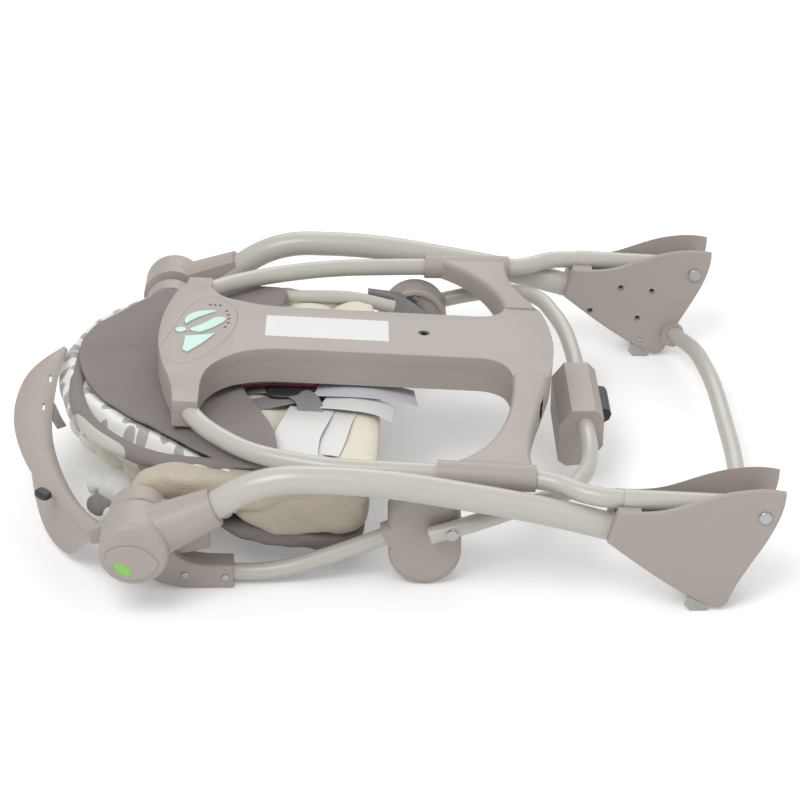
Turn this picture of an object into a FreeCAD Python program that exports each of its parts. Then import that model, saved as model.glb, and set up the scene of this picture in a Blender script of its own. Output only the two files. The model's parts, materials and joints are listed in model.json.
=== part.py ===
import FreeCAD, Part
import os
from math import atan, atan2, cos, degrees, hypot, pi, radians, sin, tan

# Folding baby swing, stored flat: feet at +X, hubs and console at -X, seat folded between.
# The origin is the bottom centre of the whole object. Right is -Y, left is +Y.
# Millimetres, +Z up.

V = FreeCAD.Vector

# ---------------------------------------------------------------- driving sizes
PIN_X = 332.3            # fold pins, from the middle of the object
PIN_Z = 96.1             # fold pins above the floor
RING_RISE = 0.063        # slope of the console ring, folded
STAND_HALF = 250.0       # middle of the side tubes, from the middle plane
HUB_X = PIN_X - 552.0    # hub axis
HUB_Z = 69.0
HUB_R = 31.0
HUB_IN = 238.0           # inner and outer faces of the hub housing
HUB_OUT = 284.0
SIDE_TUBE_R = 12.7       # one-inch steel tube
RING_TUBE_R = 8.7
SEAT_TUBE_R = 8.0
CROSS_TUBE_R = 8.25
TUBE_WALL = 1.2
SHELL = 2.4              # wall of the plastic mouldings
FOOT_HALF = 22.0         # half thickness of a foot
FIT = 0.15               # clearance of a tube in its socket
GAP = 0.3                # clearance beside a soft piece
PIN_R = 4.0              # fold pin
SCREW_R = 2.0
SCREW_HEAD_R = 3.6
SCREW_HEAD = 2.0
BEAM_HALF = 45.0         # console beam, half width at the parting line
BEAM_TOP = 29.0          # heights above the ring's own plane
BEAM_PART = 14.0
BEAM_BOTTOM = -8.0
PANEL_H = 20.5
BUTTON_TRAVEL = 1.5
ARM_Y = 217.0            # middle of the swing arms and the thin tubes
BRACKET_X = PIN_X - 296.0
BRACKET_R = 33.0
BRACKET_TOP = 97.0
BRACKET_OUT = 226.0
BRACKET_IN = 191.0
RECLINE_X = PIN_X - 296.0
RECLINE_Z = 66.0
LEG_X = PIN_X - 272.0    # pivot of the leg frame
LEG_Z = 64.0
BACK_Y = 179.4           # sides of the back loop
BACK_Z = 102.0
C_CELL_R = 13.1
C_CELL_LEN = 50.0

os.makedirs("parts", exist_ok=True)


# ---------------------------------------------------------------- helpers
def px(x):
    """A length measured from the fold pins, as a place along the object."""
    return PIN_X + x


def smooth_wire(points):
    """Straight runs through the points, joined by the largest tangent arcs."""
    edges = []
    last = points[0]
    for before, here, after in zip(points, points[1:], points[2:]):
        run_in = here - before
        run_out = after - here
        turn = run_in.getAngle(run_out)
        reach = 0.45 * min(run_in.Length, run_out.Length)
        start = here - run_in.normalize() * reach
        end = here + run_out.normalize() * reach
        to_middle = (start + end) * 0.5 - here
        radius = reach / tan(turn / 2)
        centre_gap = hypot(reach, radius)
        middle = here + to_middle.normalize() * (centre_gap - radius)
        edges.append(Part.LineSegment(last, start).toShape())
        edges.append(Part.Arc(start, middle, end).toShape())
        last = end
    edges.append(Part.LineSegment(last, points[-1]).toShape())
    return Part.Wire(edges)


def rod_along(points, radius):
    wire = smooth_wire(points)
    section = Part.Wire([Part.makeCircle(radius, points[0], points[1] - points[0])])
    return wire.makePipeShell([section], True, False)


def tube_along(points, radius, wall=TUBE_WALL):
    return rod_along(points, radius).cut(rod_along(points, radius - wall))


def cylinder_y(x, z, radius, y_from, y_to):
    low = min(y_from, y_to)
    return Part.makeCylinder(radius, abs(y_to - y_from), V(x, low, z), V(0, 1, 0))


def block(x0, x1, y0, y1, z0, z1):
    return Part.makeBox(x1 - x0, y1 - y0, z1 - z0, V(x0, y0, z0))


def closed_wire(points):
    return Part.makePolygon(points + [points[0]])


def curved_wire(points):
    curve = Part.BSplineCurve()
    curve.interpolate(Points=points, PeriodicFlag=True)
    return Part.Wire([curve.toShape()])


def inset_loop(points, inset):
    """Moves a closed loop of (u, v) points, listed anticlockwise, inwards by inset."""
    moved = []
    for before, here, after in zip(points[-1:] + points[:-1], points, points[1:] + points[:1]):
        first = V(here[0] - before[0], here[1] - before[1], 0).normalize()
        second = V(after[0] - here[0], after[1] - here[1], 0).normalize()
        bisector = V(-first.y - second.y, first.x + second.x, 0)
        scale = inset / (1 + first.dot(second))
        moved.append((here[0] + bisector.x * scale, here[1] + bisector.y * scale))
    return moved


def prism_y(wire, y_from, y_to):
    """Fills a wire drawn in the XZ plane at y = 0 and extrudes it between two widths."""
    face = Part.Face(wire)
    face.translate(V(0, min(y_from, y_to), 0))
    return face.extrude(V(0, abs(y_to - y_from), 0))


def prism_z(wire, z_from, z_to):
    face = Part.Face(wire)
    face.translate(V(0, 0, z_from))
    return face.extrude(V(0, 0, z_to - z_from))


def edges_at_z(shape, z, slack=0.01):
    return [e for e in shape.Edges if abs(e.BoundBox.ZMin - z) < slack and abs(e.BoundBox.ZMax - z) < slack]


def edges_at_y(shape, y, slack=0.01):
    return [e for e in shape.Edges if abs(e.BoundBox.YMin - y) < slack and abs(e.BoundBox.YMax - y) < slack]


def mirrored(shape):
    return shape.mirror(V(0, 0, 0), V(0, 1, 0))


def on_ring(shape):
    """Lays a piece drawn in the ring's own flat frame onto the tilted, folded ring."""
    placed = shape.copy()
    placed.rotate(V(0, 0, 0), V(0, 1, 0), degrees(atan(RING_RISE)))
    placed.translate(V(PIN_X, 0, PIN_Z))
    return placed


def one_shape(solids):
    return solids[0] if len(solids) == 1 else Part.makeCompound(solids)


def save(name, *solids):
    one_shape(list(solids)).exportStep("parts/" + name + ".step")


def save_pair(name, *shapes):
    """The right-hand pieces and their mirror images, in one node."""
    save(name, *shapes, *[mirrored(s) for s in shapes])


def screw(x, y, z, direction, length):
    """Pan-head screw whose head sits on the point and whose shank goes along direction."""
    way = V(*direction)
    head = Part.makeCylinder(SCREW_HEAD_R, SCREW_HEAD, V(x, y, z) - way * SCREW_HEAD, way)
    head = head.makeFillet(0.8, [head.Edges[2]])
    slot = Part.makeBox(4.4, 4.4, 1.0, V(-2.2, -2.2, 0))
    bar = Part.makeBox(4.4, 1.0, 1.0, V(-2.2, -0.5, -0.5))
    cross = bar.fuse(bar.rotated(V(0, 0, 0), V(0, 0, 1), 90))
    turn = FreeCAD.Rotation(V(0, 0, 1), way)
    cross.Placement = FreeCAD.Placement(V(x, y, z) - way * SCREW_HEAD, turn)
    shank = Part.makeCylinder(SCREW_R, length, V(x, y, z), way)
    return head.fuse(shank).cut(cross)


# ---------------------------------------------------------------- stand: side tubes and feet
SIDE_PATH = [(-505, 84), (-440, 127), (-340, 123), (-190, 92.8), (-80, 59.3)]


def side_tube_points(y):
    return [V(px(x), y, z) for x, z in SIDE_PATH]


def side_tube():
    return tube_along(side_tube_points(-STAND_HALF), SIDE_TUBE_R, 1.4)


def foot_outline():
    """Side view of a foot: mouth at the left, pin corner top right, apex on the floor."""
    top = Part.BSplineCurve()
    top_points = [(-128, 103), (-107, 102), (-88, 103.5), (-66, 110), (-44, 117.5), (-20, 122.5)]
    top.interpolate([V(px(x), 0, z) for x, z in top_points])
    rear = Part.BSplineCurve()
    rear_points = [(17.4, 121), (16.6, 106), (10, 84), (-8, 49), (-26.5, 10)]
    rear.interpolate([V(px(x), 0, z) for x, z in rear_points])
    low = Part.BSplineCurve()
    low_points = [(-42, 4.0), (-62, 14.2), (-85, 29.5), (-108, 47), (-137, 70.6)]
    low.interpolate([V(px(x), 0, z) for x, z in low_points])
    corner_top = V(px(-20), 0, 122.5)
    corner_rear = V(px(17.4), 0, 121)
    apex = Part.Arc(V(px(-26.5), 0, 10), V(px(-33), 0, 2.9), V(px(-42), 0, 4.0))
    corner = Part.Arc(corner_top, V(px(-2), 0, 123.6), corner_rear)
    mouth = Part.LineSegment(V(px(-137), 0, 70.6), V(px(-128), 0, 103))
    curves = [top, corner, rear, apex, low, mouth]
    return Part.Wire([c.toShape() for c in curves])


RIM_END_X = -60          # the lower wall stops here, so the ring can swing out past the apex
SLEEVE_R = 9.6
SLEEVE_Y = 252.0


def lower_wall():
    """Region of the wall along a foot's lower edge, from the mouth to near the apex."""
    wall = [(-137, 60), (-108, 38), (-85, 22), (RIM_END_X, 5), (RIM_END_X, 18.5), (-83, 33.5), (-106, 50.5),
            (-118, 62)]
    return prism_y(closed_wire([V(px(x), 0, z) for x, z in wall]), -400, 400)


def foot_half(y_mid, y_face):
    """One moulded half of a foot: plate, lower wall, and half of the mouth round the tube."""
    inward = 1 if y_mid > y_face else -1
    full = prism_y(foot_outline(), y_face, y_mid)
    full = full.makeFillet(3.0, edges_at_y(full, y_face))
    y_low, y_high = sorted((y_face - inward * 10, y_face + inward * SHELL))
    plate_zone = block(px(-160), px(40), y_low, y_high, -20, 160)
    mouth_zone = block(px(-160), px(-108), -400, 400, 20, 140)
    shell = full.common(plate_zone.fuse([mouth_zone, lower_wall()]))
    bore = rod_along(side_tube_points(-STAND_HALF), SIDE_TUBE_R + FIT)
    side = SLEEVE_R + 1.2
    channel = block(px(-150), px(-100), -SLEEVE_Y - side, -SLEEVE_Y + side, 92.5, 140)
    pin_hole = cylinder_y(px(0), PIN_Z, PIN_R + FIT, -300, -200)
    return shell.cut([bore, channel, pin_hole])


def foot_outer():
    return foot_half(-STAND_HALF, -STAND_HALF - FOOT_HALF)


def foot_inner():
    shell = foot_half(-STAND_HALF, -STAND_HALF + FOOT_HALF)
    face = -STAND_HALF + FOOT_HALF
    collar = cylinder_y(px(-20), 27, 12.5, face - SHELL, face + 7)
    shell = shell.fuse(collar).cut(rod_along(cross_points(), CROSS_TUBE_R + FIT))
    for x, z, radius in SCREW_HOLES:
        shell = shell.cut(cylinder_y(px(x), z, radius, face - 6, face + 6))
    return shell


SCREW_HOLES = [(-77, 81, 3.8), (-44, 77, 3.2), (-58, 45.5, 3.2), (-54, 20, 3.0), (-109, 55, 3.0)]


def foot_bosses():
    """Screw bosses that join the two halves of a foot, moulded on the outer half."""
    posts = []
    for x, z, radius in SCREW_HOLES[:3]:
        post = cylinder_y(px(x), z, radius + 1.6, -STAND_HALF - FOOT_HALF + SHELL, -STAND_HALF + FOOT_HALF - SHELL)
        posts.append(post.cut(cylinder_y(px(x), z, SCREW_R, -STAND_HALF - 8, -STAND_HALF + FOOT_HALF)))
    return posts


def cross_points():
    reach = STAND_HALF - FOOT_HALF + 8
    half = [(-20, reach, 27), (-17, 215, 30), (-3, 165, 39), (4, 80, 45)]
    points = [V(px(x), -y, z) for x, y, z in half]
    return points + [V(px(x), y, z) for x, y, z in reversed(half)]


def cross_tube():
    return tube_along(cross_points(), CROSS_TUBE_R)


def fold_pin():
    """Shouldered pin through both plates of a foot and the eye of the ring, headed outside."""
    outer = -STAND_HALF - FOOT_HALF
    inner = -STAND_HALF + FOOT_HALF
    shank = cylinder_y(px(0), PIN_Z, PIN_R, outer - 0.1, inner + 1.6)
    head = cylinder_y(px(0), PIN_Z, 6.0, outer - 2.2, outer)
    head = head.makeFillet(1.4, edges_at_y(head, outer - 2.2))
    nut = cylinder_y(px(0), PIN_Z, 6.6, inner, inner + 3.0)
    nut = nut.makeFillet(1.0, edges_at_y(nut, inner + 3.0))
    return shank.fuse([head, nut])


def foot_pad(y_from, y_to):
    """Clear bumper under the lower edge of a foot plate, reaching the floor."""
    outline = [(-64, 15.2), (-66, 6), (-60, 0), (-46, 0), (-43.5, 3.0)]
    wire = closed_wire([V(px(x), 0, z) for x, z in outline])
    return prism_y(wire, y_from, y_to).cut(prism_y(foot_outline(), y_from - 1, y_to + 1))


# ---------------------------------------------------------------- hubs
HUB_AXIS = V(HUB_X, 0, HUB_Z)
MOUTH = V(px(-481), 0, 99.2)


def hub_body():
    """Hub disc with the collar that takes the side tube, before it is split in two."""
    disc = cylinder_y(HUB_X, HUB_Z, HUB_R, -HUB_OUT, -HUB_IN)
    disc = disc.makeFillet(7.0, edges_at_y(disc, -HUB_OUT))
    way = MOUTH - HUB_AXIS
    length = way.Length
    way.normalize()
    start = V(HUB_X, -STAND_HALF - 4, HUB_Z) + way * 6
    collar = Part.makeCone(25, 17.4, length - 6, start, way + V(0, 4.0 / length, 0))
    slab = block(HUB_X - 60, HUB_X + 120, -HUB_OUT, -HUB_IN, HUB_Z - 45, HUB_Z + 90)
    return disc.fuse(collar.common(slab))


def hub_cavity():
    return cylinder_y(HUB_X, HUB_Z, HUB_R - SHELL, -HUB_OUT + SHELL, -HUB_IN - SHELL)


def hub_shells():
    whole = hub_body().cut(hub_cavity())
    whole = whole.cut(rod_along(side_tube_points(-STAND_HALF), SIDE_TUBE_R + FIT))
    whole = whole.cut(cylinder_y(HUB_X, HUB_Z, AXLE_R + 0.05, -HUB_IN - 5, -HUB_IN + 9))
    window = cap_outline()
    whole = whole.cut(prism_y(window, -HUB_OUT - 1, -HUB_OUT + CAP_DEEP))
    split = block(HUB_X - 80, HUB_X + 140, -HUB_OUT - 5, -STAND_HALF - 4, HUB_Z - 60, HUB_Z + 100)
    return whole.common(split), whole.cut(split)


CAP_DEEP = 1.6
AXLE_R = 5.0


def cap_outline():
    """Lower cover of the hub: a disc cut off along a shallow rising arc."""
    radius = HUB_R - 7.5
    left = V(HUB_X - radius * cos(radians(12)), 0, HUB_Z + radius * sin(radians(12)))
    right = V(HUB_X + radius * cos(radians(18)), 0, HUB_Z - radius * sin(radians(18)))
    bottom = V(HUB_X, 0, HUB_Z - radius)
    arc = Part.Arc(left, bottom, right)
    crown = Part.Arc(right, V(HUB_X + 2, 0, HUB_Z + 10), left)
    return Part.Wire([arc.toShape(), crown.toShape()])


def hub_cap():
    plate = prism_y(cap_outline().makeOffset2D(-0.15), -HUB_OUT - 1.2, -HUB_OUT + CAP_DEEP - 0.02)
    plate = plate.makeFillet(0.9, edges_at_y(plate, -HUB_OUT - 1.2))
    return plate.cut(window_prism(0.15, -HUB_OUT - 3, -HUB_OUT + 3))


def window_prism(grow, y_from, y_to):
    inner = 12.0 - grow
    outer = 20.0 + grow
    start = radians(205) - grow / 16
    end = radians(262) + grow / 16
    mid = (start + end) / 2

    def at(radius, angle):
        return V(HUB_X + radius * cos(angle), 0, HUB_Z + radius * sin(angle))
    edges = [Part.Arc(at(outer, start), at(outer, mid), at(outer, end)).toShape(),
             Part.LineSegment(at(outer, end), at(inner, end)).toShape(),
             Part.Arc(at(inner, end), at(inner, mid), at(inner, start)).toShape(),
             Part.LineSegment(at(inner, start), at(outer, start)).toShape()]
    return prism_y(Part.Wire(edges), y_from, y_to)


def lock_indicator():
    return window_prism(0, -HUB_OUT - 0.9, -HUB_OUT + CAP_DEEP - 0.02)


def release_lever():
    """Thumb tab on a ring round the hub's outer edge, turned to free the folded arm."""
    ring = cylinder_y(HUB_X, HUB_Z, HUB_R + 2.2, -HUB_IN - 7, -HUB_IN - 2)
    ring = ring.cut(cylinder_y(HUB_X, HUB_Z, HUB_R + 0.35, -HUB_IN - 8, -HUB_IN - 1))
    sector = closed_wire([V(HUB_X, 0, HUB_Z), V(HUB_X - 60, 0, HUB_Z - 22), V(HUB_X - 30, 0, HUB_Z - 60)])
    ring = ring.common(prism_y(sector, -300, -200))
    tab = cylinder_y(HUB_X - 29, HUB_Z - 21.5, 6.0, -HUB_IN - 9, -HUB_IN - 2)
    tab = tab.cut(cylinder_y(HUB_X, HUB_Z, HUB_R + 0.35, -HUB_IN - 12, -HUB_IN + 1))
    return ring.fuse(tab)


def swing_axle():
    """Steel axle from inside the hub to the swing arm, with its retaining flange."""
    shaft = cylinder_y(HUB_X, HUB_Z, AXLE_R, -HUB_IN - 27, -ARM_Y + 10)
    flange = cylinder_y(HUB_X, HUB_Z, 9.0, -HUB_IN - 6, -HUB_IN - 3.2)
    return shaft.fuse(flange)


def drive_motor():
    body = cylinder_y(HUB_X - 8, HUB_Z + 13, 7.0, -HUB_OUT + SHELL + 0.5, -HUB_OUT + 20)
    shaft = cylinder_y(HUB_X - 8, HUB_Z + 13, 1.0, -HUB_OUT + 20, -HUB_OUT + 26)
    return body.fuse(shaft)


def drive_worm():
    """Worm pressed on the motor's shaft."""
    worm = cylinder_y(HUB_X - 8, HUB_Z + 13, 2.6, -HUB_OUT + 20.6, -HUB_OUT + 26.5)
    return worm.cut(cylinder_y(HUB_X - 8, HUB_Z + 13, 1.0, -HUB_OUT + 19, -HUB_OUT + 30))


def drive_gear():
    """Crank gear on the axle, teeth cut round its rim."""
    low = -HUB_OUT + 21.0
    gear = cylinder_y(HUB_X, HUB_Z, 12.0, low, low + 5)
    gear = gear.cut(cylinder_y(HUB_X, HUB_Z, AXLE_R, low - 1, low + 6))
    count = 24
    notch = cylinder_y(HUB_X + 12.2, HUB_Z, 0.95, low - 1, low + 6)
    for step in range(count):
        gear = gear.cut(notch.rotated(V(HUB_X, 0, HUB_Z), V(0, 1, 0), 360.0 * step / count))
    return gear


# ---------------------------------------------------------------- console ring
RING_PATH = [(-520, 112, 1), (-497, 150, -4), (-455, 186, -7.5), (-388, 210, -5.5),
             (-300, 217, -1.8), (-186, 223, 0), (-151, 249, 0), (-116, 252, 0)]


def ring_points():
    return [V(x, -y, h) for x, y, h in RING_PATH]


def ring_tube():
    return tube_along(ring_points(), RING_TUBE_R)


def ring_sleeve():
    """Larger end sleeve of the ring: takes the ring tube and turns on the fold pin."""
    bore = rod_along(ring_points(), RING_TUBE_R + 0.1)
    sleeve = Part.makeCylinder(SLEEVE_R, 113, V(-123, -SLEEVE_Y, 0), V(1, 0, 0)).cut(bore)
    sleeve = sleeve.cut(Part.makeCylinder(RING_TUBE_R + 0.1, 22, V(-124, -SLEEVE_Y, 0), V(1, 0, 0)))
    eye = cylinder_y(0, 0, 12.6, -SLEEVE_Y - 8, -SLEEVE_Y + 10)
    eye = eye.makeFillet(2.0, eye.Edges)
    return sleeve.fuse(eye).cut(cylinder_y(0, 0, PIN_R + 0.05, -300, -200))


YOKE_SPLIT = 72.0
FRONT = [(-548, 0), (-545.5, -40), (-538, -78), (-529, -108)]
TUBE_MOUTH = [(-526.5, -133), (-503.5, -133)]
HEAD_SIDE = [(-503.5, -112), (-500.5, -90), (-492, -73), (-478, -60), (-457, -50), (-430, -45.3)]
T_FLARE = [(-246, -BEAM_HALF), (-222, -52), (-212, -YOKE_SPLIT)]
T_REAR = [(-178, -YOKE_SPLIT), (-169, 0)]


def spline(points):
    curve = Part.BSplineCurve()
    curve.interpolate(points)
    return curve.toShape()


def console_plan(inset):
    """Plan of the console: head, its two arms, the beam and the T at the rear."""
    near = FRONT + TUBE_MOUTH + HEAD_SIDE + T_FLARE + T_REAR
    far = [(x, -y) for x, y in reversed(near[1:-1])]
    loop = [V(x, y, 0) for x, y in inset_loop(near + far, inset)]
    count = len(near)
    near = loop[:count]
    far = [near[0]] + list(reversed(loop[count:])) + [near[-1]]
    edges = [spline(list(reversed(far[:4])) + near[1:4]),
             Part.Arc(near[-2], near[-1], far[-2]).toShape()]
    for side in (near, far):
        edges.append(Part.LineSegment(side[3], side[4]).toShape())
        edges.append(Part.LineSegment(side[4], side[5]).toShape())
        edges.append(Part.LineSegment(side[5], side[6]).toShape())
        edges.append(spline(side[6:12]))
        edges.append(Part.LineSegment(side[11], side[12]).toShape())
        edges.append(spline(side[12:15]))
        edges.append(Part.LineSegment(side[14], side[15]).toShape())
    return Part.Wire(Part.__sortEdges__(edges))


def console_solid(inset):
    """Outer or inner volume of the whole console, from its plan, its front view and its side view."""
    body = prism_z(console_plan(inset), -40, 60)
    front_points = [(0, BEAM_TOP), (48, BEAM_TOP - 2), (86, 22), (112, 15.5), (140, 13.2)]
    under_points = [(140, -13), (100, -12), (60, BEAM_BOTTOM), (0, BEAM_BOTTOM)]
    over = [V(0, y, h - inset) for y, h in front_points]
    under = [V(0, y, h + inset) for y, h in under_points]
    over_curve = Part.BSplineCurve()
    over_curve.interpolate([V(0, -p.y, p.z) for p in reversed(over)] + over[1:])
    under_curve = Part.BSplineCurve()
    under_curve.interpolate(under[:3])
    under_mirror = Part.BSplineCurve()
    under_mirror.interpolate([V(0, -p.y, p.z) for p in under[:3]])
    edges = [over_curve.toShape(), under_curve.toShape(), under_mirror.toShape(),
             Part.LineSegment(over[-1], under[0]).toShape(),
             Part.LineSegment(V(0, -over[-1].y, over[-1].z), V(0, -under[0].y, under[0].z)).toShape(),
             Part.LineSegment(under[2], V(0, -under[2].y, under[2].z)).toShape()]
    face = Part.Face(Part.Wire(Part.__sortEdges__(edges)))
    face.translate(V(-600, 0, 0))
    body = body.common(face.extrude(V(500, 0, 0)))
    side_points = [(-560, 14), (-540, 19), (-500, 22), (-474, 26), (-440, BEAM_TOP), (-330, BEAM_TOP),
                   (-240, 28.0), (-200, 26.5), (-160, 25)]
    side_curve = Part.BSplineCurve()
    side_curve.interpolate([V(x, 0, h - inset) for x, h in side_points])
    low_left = V(-560, 0, -30)
    low_right = V(-160, 0, -30)
    side = Part.Wire(Part.__sortEdges__([
        side_curve.toShape(),
        Part.LineSegment(V(-560, 0, 14 - inset), low_left).toShape(),
        Part.LineSegment(low_left, low_right).toShape(),
        Part.LineSegment(low_right, V(-160, 0, 25 - inset)).toShape()]))
    return body.common(prism_y(side, -200, 200))



def parting_solid():
    """Everything above the line where the console's two shells meet."""
    points = [(0, BEAM_PART), (55, BEAM_PART), (85, 7), (112, 0), (150, 0)]
    right = [V(0, -y, h) for y, h in reversed(points)]
    left = [V(0, y, h) for y, h in points[1:]]
    wire = closed_wire(right + left + [V(0, 150, 60), V(0, -150, 60)])
    face = Part.Face(wire)
    face.translate(V(-600, 0, 0))
    return face.extrude(V(500, 0, 0))


PANEL_OUTLINE = [(-535, -66), (-538, -10), (-524, 42), (-504, 71), (-486, 56), (-474, 18), (-482, -22),
                 (-498, -50), (-516, -70)]
PETAL = [(-523, 9), (-515.5, 34.5), (-494, 36), (-508, 27)]
OVAL = [(-517, -5), (-506, 10), (-492, 22), (-486, 19), (-494, 3), (-508, -8)]
SPLIT = [(-523, -46), (-518, -50), (-505, -32), (-494, -13), (-509, -15), (-522, -17)]
ROUND = (-527, -3, 5.0)
LIGHTS = [(-502, 53), (-497, 51.5), (-492, 50), (-485, 36), (-483, 27), (-482, 18), (-482.5, 9), (-485, 1)]
SLOT = 0.3               # gap round each button and round the panel
BUTTON_FOOT = 10.5       # underside of the buttons, above the ring's plane


def flat_curve(points, grow=0.0):
    """Closed curve through clockwise points, grown by a gap."""
    around = inset_loop(list(reversed(points)), -grow)
    return curved_wire([V(x, y, 0) for x, y in around])


def button_wires(grow=0.0):
    corner = closed_wire([V(x, y, 0) for x, y in inset_loop(SPLIT, -grow)])
    x, y, radius = ROUND
    dot = Part.Wire([Part.makeCircle(radius + grow, V(x, y, 0))])
    return {"button_petal": leaf_wire(grow), "button_oval": flat_curve(OVAL, grow),
            "button_volume": corner, "button_power": dot}


def leaf_wire(grow):
    """Leaf between two arcs, whose tips and bellies move out by a gap."""
    tip, back, other_tip, belly = [V(x, y, 0) for x, y in PETAL]
    along = (other_tip - tip).normalize()
    across = (back - belly).normalize()
    tip = tip - along * (1.5 * grow) - across * (1.3 * grow)
    other_tip = other_tip + along * (1.5 * grow) - across * (1.3 * grow)
    edges = [Part.Arc(tip, back + across * grow, other_tip).toShape(),
             Part.Arc(other_tip, belly - across * grow, tip).toShape()]
    return Part.Wire(edges)


def control_parts(outer, inner):
    """Panel insert, its buttons and its light windows, cut from the console's own surface."""
    panel_wire = flat_curve(PANEL_OUTLINE)
    panel = outer.cut(inner).common(prism_z(panel_wire, BEAM_PART + 0.2, 60))
    proud = console_solid(-1.3)
    buttons = {}
    holes = button_wires(SLOT)
    for name, wire in button_wires().items():
        buttons[name] = proud.common(prism_z(wire, BUTTON_FOOT, 60))
        panel = panel.cut(prism_z(holes[name], 0, 60))
    windows = []
    for x, y in LIGHTS:
        leaf = Part.Wire([Part.makeCircle(1.7, V(x, y, 0))])
        prism = prism_z(leaf, 5, 60)
        windows.append(outer.cut(inner).common(prism))
        panel = panel.cut(prism)
    return panel, buttons, windows, prism_z(flat_curve(PANEL_OUTLINE, SLOT), BEAM_PART - 0.2, 60)


DOOR = (-478, -348, 33.0)
INLET_X = -294.0
LABEL = (-446, -328, 22.0)


def console_shells(outer, inner, panel_gap):
    shell = outer.cut(inner)
    tubes = rod_along(ring_points(), RING_TUBE_R + FIT)
    tubes = tubes.fuse(mirrored(tubes))
    upper = parting_solid()
    top = shell.common(upper).cut([panel_gap, tubes, inlet_hole()])
    bottom = shell.cut(upper).cut(tubes)
    bottom = bottom.cut(block(DOOR[0] - SLOT, DOOR[1] + SLOT, -DOOR[2] - SLOT, DOOR[2] + SLOT, -20, -2))
    for x, y in console_screw_places():
        post = Part.makeCylinder(4.2, BEAM_PART - BEAM_BOTTOM, V(x, y, BEAM_BOTTOM))
        post = post.common(outer)
        hole = Part.makeCylinder(SCREW_R + 0.1, 60, V(x, y, BEAM_BOTTOM - 10))
        sink = Part.makeCylinder(SCREW_HEAD_R + 0.2, SCREW_HEAD + 10, V(x, y, BEAM_BOTTOM - 10))
        bottom = bottom.fuse(post).cut([hole, sink])
    return top, bottom


def console_screw_places():
    return [(-500, -70), (-500, 70), (-335, -30), (-335, 30), (-215, -40), (-215, 40)]


def console_screws():
    return [screw(x, y, BEAM_BOTTOM + SCREW_HEAD, (0, 0, 1), 16) for x, y in console_screw_places()]


def inlet_hole():
    return Part.makeCylinder(5.6, 30, V(INLET_X, 0, 15))


def power_inlet():
    barrel = Part.makeCylinder(5.4, 12, V(INLET_X, 0, BEAM_TOP - 13))
    barrel = barrel.cut(Part.makeCylinder(3.0, 11, V(INLET_X, 0, BEAM_TOP - 10)))
    pin = Part.makeCylinder(0.9, 8, V(INLET_X, 0, BEAM_TOP - 11))
    return barrel.fuse(pin)


def battery_door():
    x0, x1, half = DOOR
    door = block(x0, x1, -half, half, BEAM_BOTTOM - 1.2, BEAM_BOTTOM + SHELL - 0.6)
    door = door.makeFillet(1.0, edges_at_z(door, BEAM_BOTTOM - 1.2))
    return door.cut(Part.makeCylinder(SCREW_R + 0.1, 20, V(x1 - 6, 0, -20)))


def batteries():
    cells = []
    for x in (-464, -464 + C_CELL_LEN + 1.5):
        for side in (-1, 1):
            y = side * (C_CELL_R + 0.7)
            cell = Part.makeCylinder(C_CELL_R, C_CELL_LEN - 1.8, V(x, y, BATTERY_H), V(1, 0, 0))
            nub = Part.makeCylinder(3.2, 1.8, V(x + C_CELL_LEN - 1.8, y, BATTERY_H), V(1, 0, 0))
            cells.append(cell.fuse(nub))
    return cells


BATTERY_H = BEAM_BOTTOM + SHELL + 0.2 + C_CELL_R


def battery_tray():
    """Walls at both ends of the cells, carrying the spring contacts."""
    back = block(-470, -468, -30, 30, BEAM_BOTTOM + SHELL, 20)
    front = block(-356, -354, -30, 30, BEAM_BOTTOM + SHELL, 20)
    return [back, front]


def battery_contacts():
    plates = []
    for x, width in ((-468, 3.6), (-361.8, 5.6)):
        for side in (-1, 1):
            y = side * (C_CELL_R + 0.7)
            plates.append(block(x + 0.02, x + width, y - 6, y + 6, BATTERY_H - 6, BATTERY_H + 6))
    return plates


def control_board():
    board = block(-530, -484, -52, 52, 6.0, 7.6)
    return board


def board_chips():
    """Switches under the buttons and the main chip, on the board."""
    places = [(-527, -3, 2.2), (-510, 36, 2.5), (-502, 7, 2.5), (-514, -30, 2.5)]
    return [block(x - r, x + r, y - r, y + r, 7.6, 8.9) for x, y, r in places]


def board_posts():
    """Posts of the lower shell that carry the board."""
    return [Part.makeCylinder(3.0, 6.0 - BEAM_BOTTOM - SHELL, V(x, y, BEAM_BOTTOM + SHELL))
            for x, y in ((-526, -44), (-526, 44), (-488, -44), (-488, 44))]


def speaker():
    cone = Part.makeCone(19, 9, 7, V(-318, 0, BEAM_BOTTOM + SHELL))
    magnet = Part.makeCylinder(8, 5, V(-318, 0, BEAM_BOTTOM + SHELL + 7))
    return cone.fuse(magnet)


def instruction_label(outer):
    raised = console_solid(-0.25)
    x0, x1, half = LABEL
    return raised.cut(outer).common(block(x0, x1, -half, half, 20, 60))


COLLAR_FROM = -286.0
COLLAR_TO = -198.0


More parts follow.
